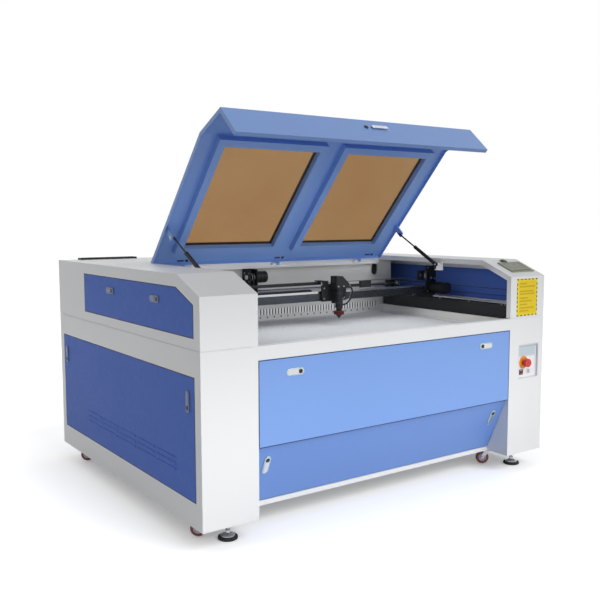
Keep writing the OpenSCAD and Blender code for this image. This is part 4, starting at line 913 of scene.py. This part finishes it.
def cross_motor_ribs():
    """Ribs and end cover of the motor on the beam."""
    motor_x, motor_z = width - 0.158, 0.7575
    motor = Shape()
    for y in (0.510, 0.535, 0.560):
        motor.lathe(cab(motor_x, y, motor_z), back, band(0.0288, 0.0037, 0.0002, 0.0005), 48)
    motor.lathe(cab(motor_x, 0.482, motor_z), front,
                [(0, 0.0265), (0.0006, 0.0262), (0.001, 0.012), (0.0016, 0.0115)], 40)
    motor.done("cross_motor_ribs", black_plastic, "gantry", slot="black_paint")


def rear_motor():
    """Pulley flanges and cap, screws and ribs of the drive on the bulkhead."""
    x0, x1 = 0.742, 0.785
    z, screw_in, flange = shaft.z + 0.072, 0.020, 0.0188
    pulleys, screws, ribs = Shape(), Shape(), Shape()
    for x in (x0 + 0.0205, x0 + 0.0345):
        pulleys.lathe(cab(x, shaft.y, z), right, [(0, flange), (0.0012, flange)], 40)
    pulleys.lathe(cab(x0 + 0.0005, shaft.y, z), left, [(0, 0.011), (0.006, 0.011), (0.0065, 0.007)], 32)
    for y in (shaft.y - screw_in, shaft.y + screw_in):
        for dz in (-screw_in, screw_in):
            socket_screw(screws, cab(x0, y, z + dz), left)
    for x in (x1 + 0.008, x1 + 0.030, x1 + 0.052):
        ribs.lathe(cab(x, shaft.y, z), right, band(0.0289, 0.0042, 0.0002, 0.0006), 48)
    pulleys.done("drive_pulleys", bed_aluminium, "cabinet", slot="bed_aluminium")
    screws.done("drive_screws", zinc, "cabinet", slot="zinc_steel")
    ribs.done("drive_motor_ribs", black_plastic, "cabinet", slot="black_paint")


def tube_along(points, radius, name, material, body):
    """A round tube along a smooth curve through the points."""
    curve = bpy.data.curves.new(name, "CURVE")
    curve.dimensions = "3D"
    curve.bevel_depth = radius
    curve.bevel_resolution = 4
    curve.resolution_u = 10
    spline = curve.splines.new("BEZIER")
    spline.bezier_points.add(len(points) - 1)
    for handle, point in zip(spline.bezier_points, points):
        handle.co = point
        handle.handle_left_type = handle.handle_right_type = "AUTO"
    curve.materials.append(material)
    curve.use_fill_caps = True
    piece = new_object(name, curve)
    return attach(piece, body)


def hose_and_wire():
    """Air hose from the top of the head down to its nozzle, and the thin wire beside it."""
    hose_top, hose_low = 0.792, 0.706
    hose_route = [(0.052, 0, hose_top), (0.058, 0, hose_top), (0.067, -0.002, 0.789), (0.074, -0.003, 0.782),
                  (0.078, -0.004, 0.772), (0.079, -0.004, 0.761), (0.077, -0.004, 0.750),
                  (0.072, -0.004, 0.739), (0.065, -0.004, 0.729), (0.056, -0.003, 0.719),
                  (0.046, -0.002, 0.711), (0.038, -0.001, 0.707), (0.030, 0, hose_low), (0.024, 0, hose_low)]
    wire_route = [(0.046, 0.012, 0.800), (0.070, 0.016, 0.803), (0.084, 0.014, 0.785), (0.078, 0.010, 0.755),
                  (0.060, 0.006, 0.728), (0.040, 0.004, 0.722), (0.0175, 0.002, 0.720)]
    hose_points, wire_points = ([cab(head_x + x, head_y + y, z) for x, y, z in route]
                                for route in (hose_route, wire_route))
    hose = tube_along(hose_points, 0.004, "hose", rubber, "head")
    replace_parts(hose, "air_hose")
    tube_along(wire_points, 0.0011, "sensor_wire", chrome, "head")


def head_details():
    """Rings round the lens tube and the mirror's window, and the head's screws."""
    rings, screws = Shape(), Shape()
    for z in (0.6925, 0.7140, 0.7600):
        rings.lathe(cab(head_x, head_y, z), up, band(0.0189, 0.0044, 0.0004, 0.0007), 40)
    rings.lathe(cab(head_x - 0.0325, head_y, 0.822), left,
                [(0, 0.0135), (0.0014, 0.0132), (0.002, 0.009)], 32)
    screw_places = [(0.0175, head_y - 0.006, 0.735)]
    screw_places += [(x, head_y - 0.024, 0.796) for x in (-0.022, 0.010)]
    screw_places += [(x, gantry_y - 0.012, z) for x in (-0.060, 0.062) for z in (0.735, 0.785)]
    for x, y, z in screw_places:
        socket_screw(screws, cab(head_x + x, y, z), front, 0.0035, 0.003)
    rings.done("head_rings", black_plastic, "head", slot="black_paint")
    screws.done("head_screws", zinc, "head", slot="zinc_steel")


guides()
gantry_screws()
mirror_disc()
cross_motor_ribs()
rear_motor()
hose_and_wire()
head_details()

# ---------- gas struts ----------


def strut_details():
    """Collars, bolts and end fittings of the gas struts."""
    upper_collar = [(0, 0.0090), (0.0012, 0.0096), (0.0060, 0.0092), (0.0085, 0.0062)]
    lower_collar = [(0, 0.0062), (0.004, 0.0088), (0.006, 0.0096), (0.012, 0.0096), (0.013, 0.0090)]
    bolt_head = [(0, 0.0080), (0.0012, 0.0078), (0.0013, 0.0056), (0.0048, 0.0052)]
    fitting = [(0, 0.0042), (0.0008, 0.0050), (0.0110, 0.0050), (0.0125, 0.0044)]
    for side, out in (("left", left), ("right", right)):
        foot = Vector(joint(side + "_strut_pivot")["pos_m"])
        along = Vector(joint(side + "_strut_slide")["axis"])
        eye = foot + along * ((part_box(side + "_strut_rod")[1].z - 0.0045 - foot.z) / along.z)
        collars, bolt, end = Shape(), Shape(), Shape()
        collars.lathe(foot + along * 0.1690, along, upper_collar, 32)
        collars.lathe(foot + along * 0.0080, along, lower_collar, 32)
        bolt.lathe(eye + Vector(out) * 0.0133, out, bolt_head, 24)
        end.lathe(foot + along * 0.288, along, fitting, 28)
        collars.done(side + "_strut_collars", black_plastic, side + "_cylinder", slot="black_paint")
        bolt.done(side + "_strut_bolt", zinc, "lid", slot="zinc_steel")
        end.done(side + "_strut_end", black_plastic, side + "_rod", slot="black_paint")


strut_details()

# ---------- stage, light and camera ----------


def camera_ray_white(tree, lit, white):
    """Shows white to the camera and to mirrors and glass, and the lit shader to all else."""
    path = tree.nodes.new("ShaderNodeLightPath")
    seen = path.outputs["Is Camera Ray"]
    for name in ("Is Glossy Ray", "Is Transmission Ray"):
        most = tree.nodes.new("ShaderNodeMath")
        most.operation = "MAXIMUM"
        tree.links.new(seen, most.inputs[0])
        tree.links.new(path.outputs[name], most.inputs[1])
        seen = most.outputs["Value"]
    mix = tree.nodes.new("ShaderNodeMixShader")
    tree.links.new(seen, mix.inputs["Fac"])
    tree.links.new(lit, mix.inputs[1])
    tree.links.new(white, mix.inputs[2])
    return mix.outputs["Shader"]


def make_world():
    world = bpy.data.worlds.new("studio")
    bpy.context.scene.world = world
    world.use_nodes = True
    tree = world.node_tree
    lit = tree.nodes["Background"]
    lit.inputs["Color"].default_value = (1.0, 0.985, 0.96, 1)
    lit.inputs["Strength"].default_value = 0.16
    white = tree.nodes.new("ShaderNodeBackground")
    white.inputs["Color"].default_value = (1, 1, 1, 1)
    white.inputs["Strength"].default_value = 1.0
    shown = camera_ray_white(tree, lit.outputs["Background"], white.outputs["Background"])
    tree.links.new(shown, tree.nodes["World Output"].inputs["Surface"])


def make_floor():
    """Floor that the camera sees as white, darkened close to the machine by painted shadow, and that lights
    it as grey.
    """
    paint = Nodes("floor")
    paint.set(Base_Color=(0.62, 0.62, 0.63, 1), Roughness=1.0, Specular_IOR_Level=0.0)
    seen = paint.add("ShaderNodeBsdfDiffuse", Color=(0.95, 0.95, 0.95, 1))
    glow = paint.add("ShaderNodeEmission", Color=(1, 1, 1, 1))
    # Painted shadow: ambient occlusion dims the glow that the camera sees close to the machine.
    contact_shade = paint.add("ShaderNodeAmbientOcclusion", Distance=0.40)
    contact_shade.samples = 8
    paint.join(paint.work_out("MULTIPLY_ADD", contact_shade.outputs["AO"], 0.44, 0.19), glow.inputs["Strength"])
    both = paint.add("ShaderNodeAddShader")
    paint.join(seen.outputs["BSDF"], both.inputs[0])
    paint.join(glow.outputs["Emission"], both.inputs[1])
    shown = camera_ray_white(paint.tree, paint.shader.outputs["BSDF"], both.outputs["Shader"])
    paint.join(shown, paint.tree.nodes["Material Output"].inputs["Surface"])
    mesh = bpy.data.meshes.new("floor")
    reach = 60
    mesh.from_pydata([(-reach, -reach, 0), (reach, -reach, 0), (reach, reach, 0), (-reach, reach, 0)], [],
                     [(0, 1, 2, 3)])
    mesh.materials.append(paint.material)
    new_object("floor", mesh)


def area_light(name, place, target, size, energy, spread=180):
    """A soft panel light that the camera and mirrors don't see."""
    data = bpy.data.lights.new(name, "AREA")
    data.shape = "RECTANGLE"
    data.spread = math.radians(spread)
    data.size, data.size_y = size
    data.energy = energy
    light = new_object(name, data)
    light.location = place
    light.rotation_euler = (place - target).to_track_quat("Z", "Y").to_euler()
    light.visible_camera = False
    light.visible_glossy = False


def make_lights():
    sun = bpy.data.lights.new("key", "SUN")
    sun.energy = 1.38
    sun.angle = math.radians(35)
    sun.color = (0.985, 0.995, 1.0)
    key = new_object("key", sun)
    key.rotation_euler = Vector((0.25, -0.75, 0.72)).to_track_quat("Z", "Y").to_euler()
    area_light("low_front", Vector((-0.4, -3.2, 0.25)), Vector((-0.1, 0, 0.40)), (3.0, 0.4), 4.7, spread=45)
    area_light("left_fill", Vector((-4.2, -0.6, 1.0)), Vector((-0.9, 0, 0.5)), (3.0, 2.0), 7)
    area_light("rear_fill", Vector((-2.2, 4.8, 3.0)), Vector((0, 0.3, 0.5)), (4.0, 2.0), 70)
    area_light("bay", Vector((0, -0.40, 0.972)), Vector((0, -0.38, 0)), (1.2, 0.5), 3.2)
    area_light("bay_low", Vector((-0.1, -0.62, 0.90)), Vector((-0.1, 0.38, 0.68)), (1.3, 0.06), 0.6)


def make_camera():
    data = bpy.data.cameras.new("camera")
    data.sensor_width = 36
    data.lens = 47.53
    data.clip_end = 200
    camera = new_object("camera", data)
    heading, tilt, roll = (math.radians(angle) for angle in (-35.1085, 90 - 5.682, -0.134))
    turn = (Matrix.Rotation(heading, 4, "Z") @ Matrix.Rotation(tilt, 4, "X")
            @ Matrix.Rotation(roll, 4, "Z"))
    camera.matrix_world = Matrix.Translation(cab(-1.2761, -2.4174, 1.1032)) @ turn
    bpy.context.scene.camera = camera


make_world()
make_floor()
make_lights()
make_camera()
bpy.context.scene.view_settings.view_transform = "Standard"
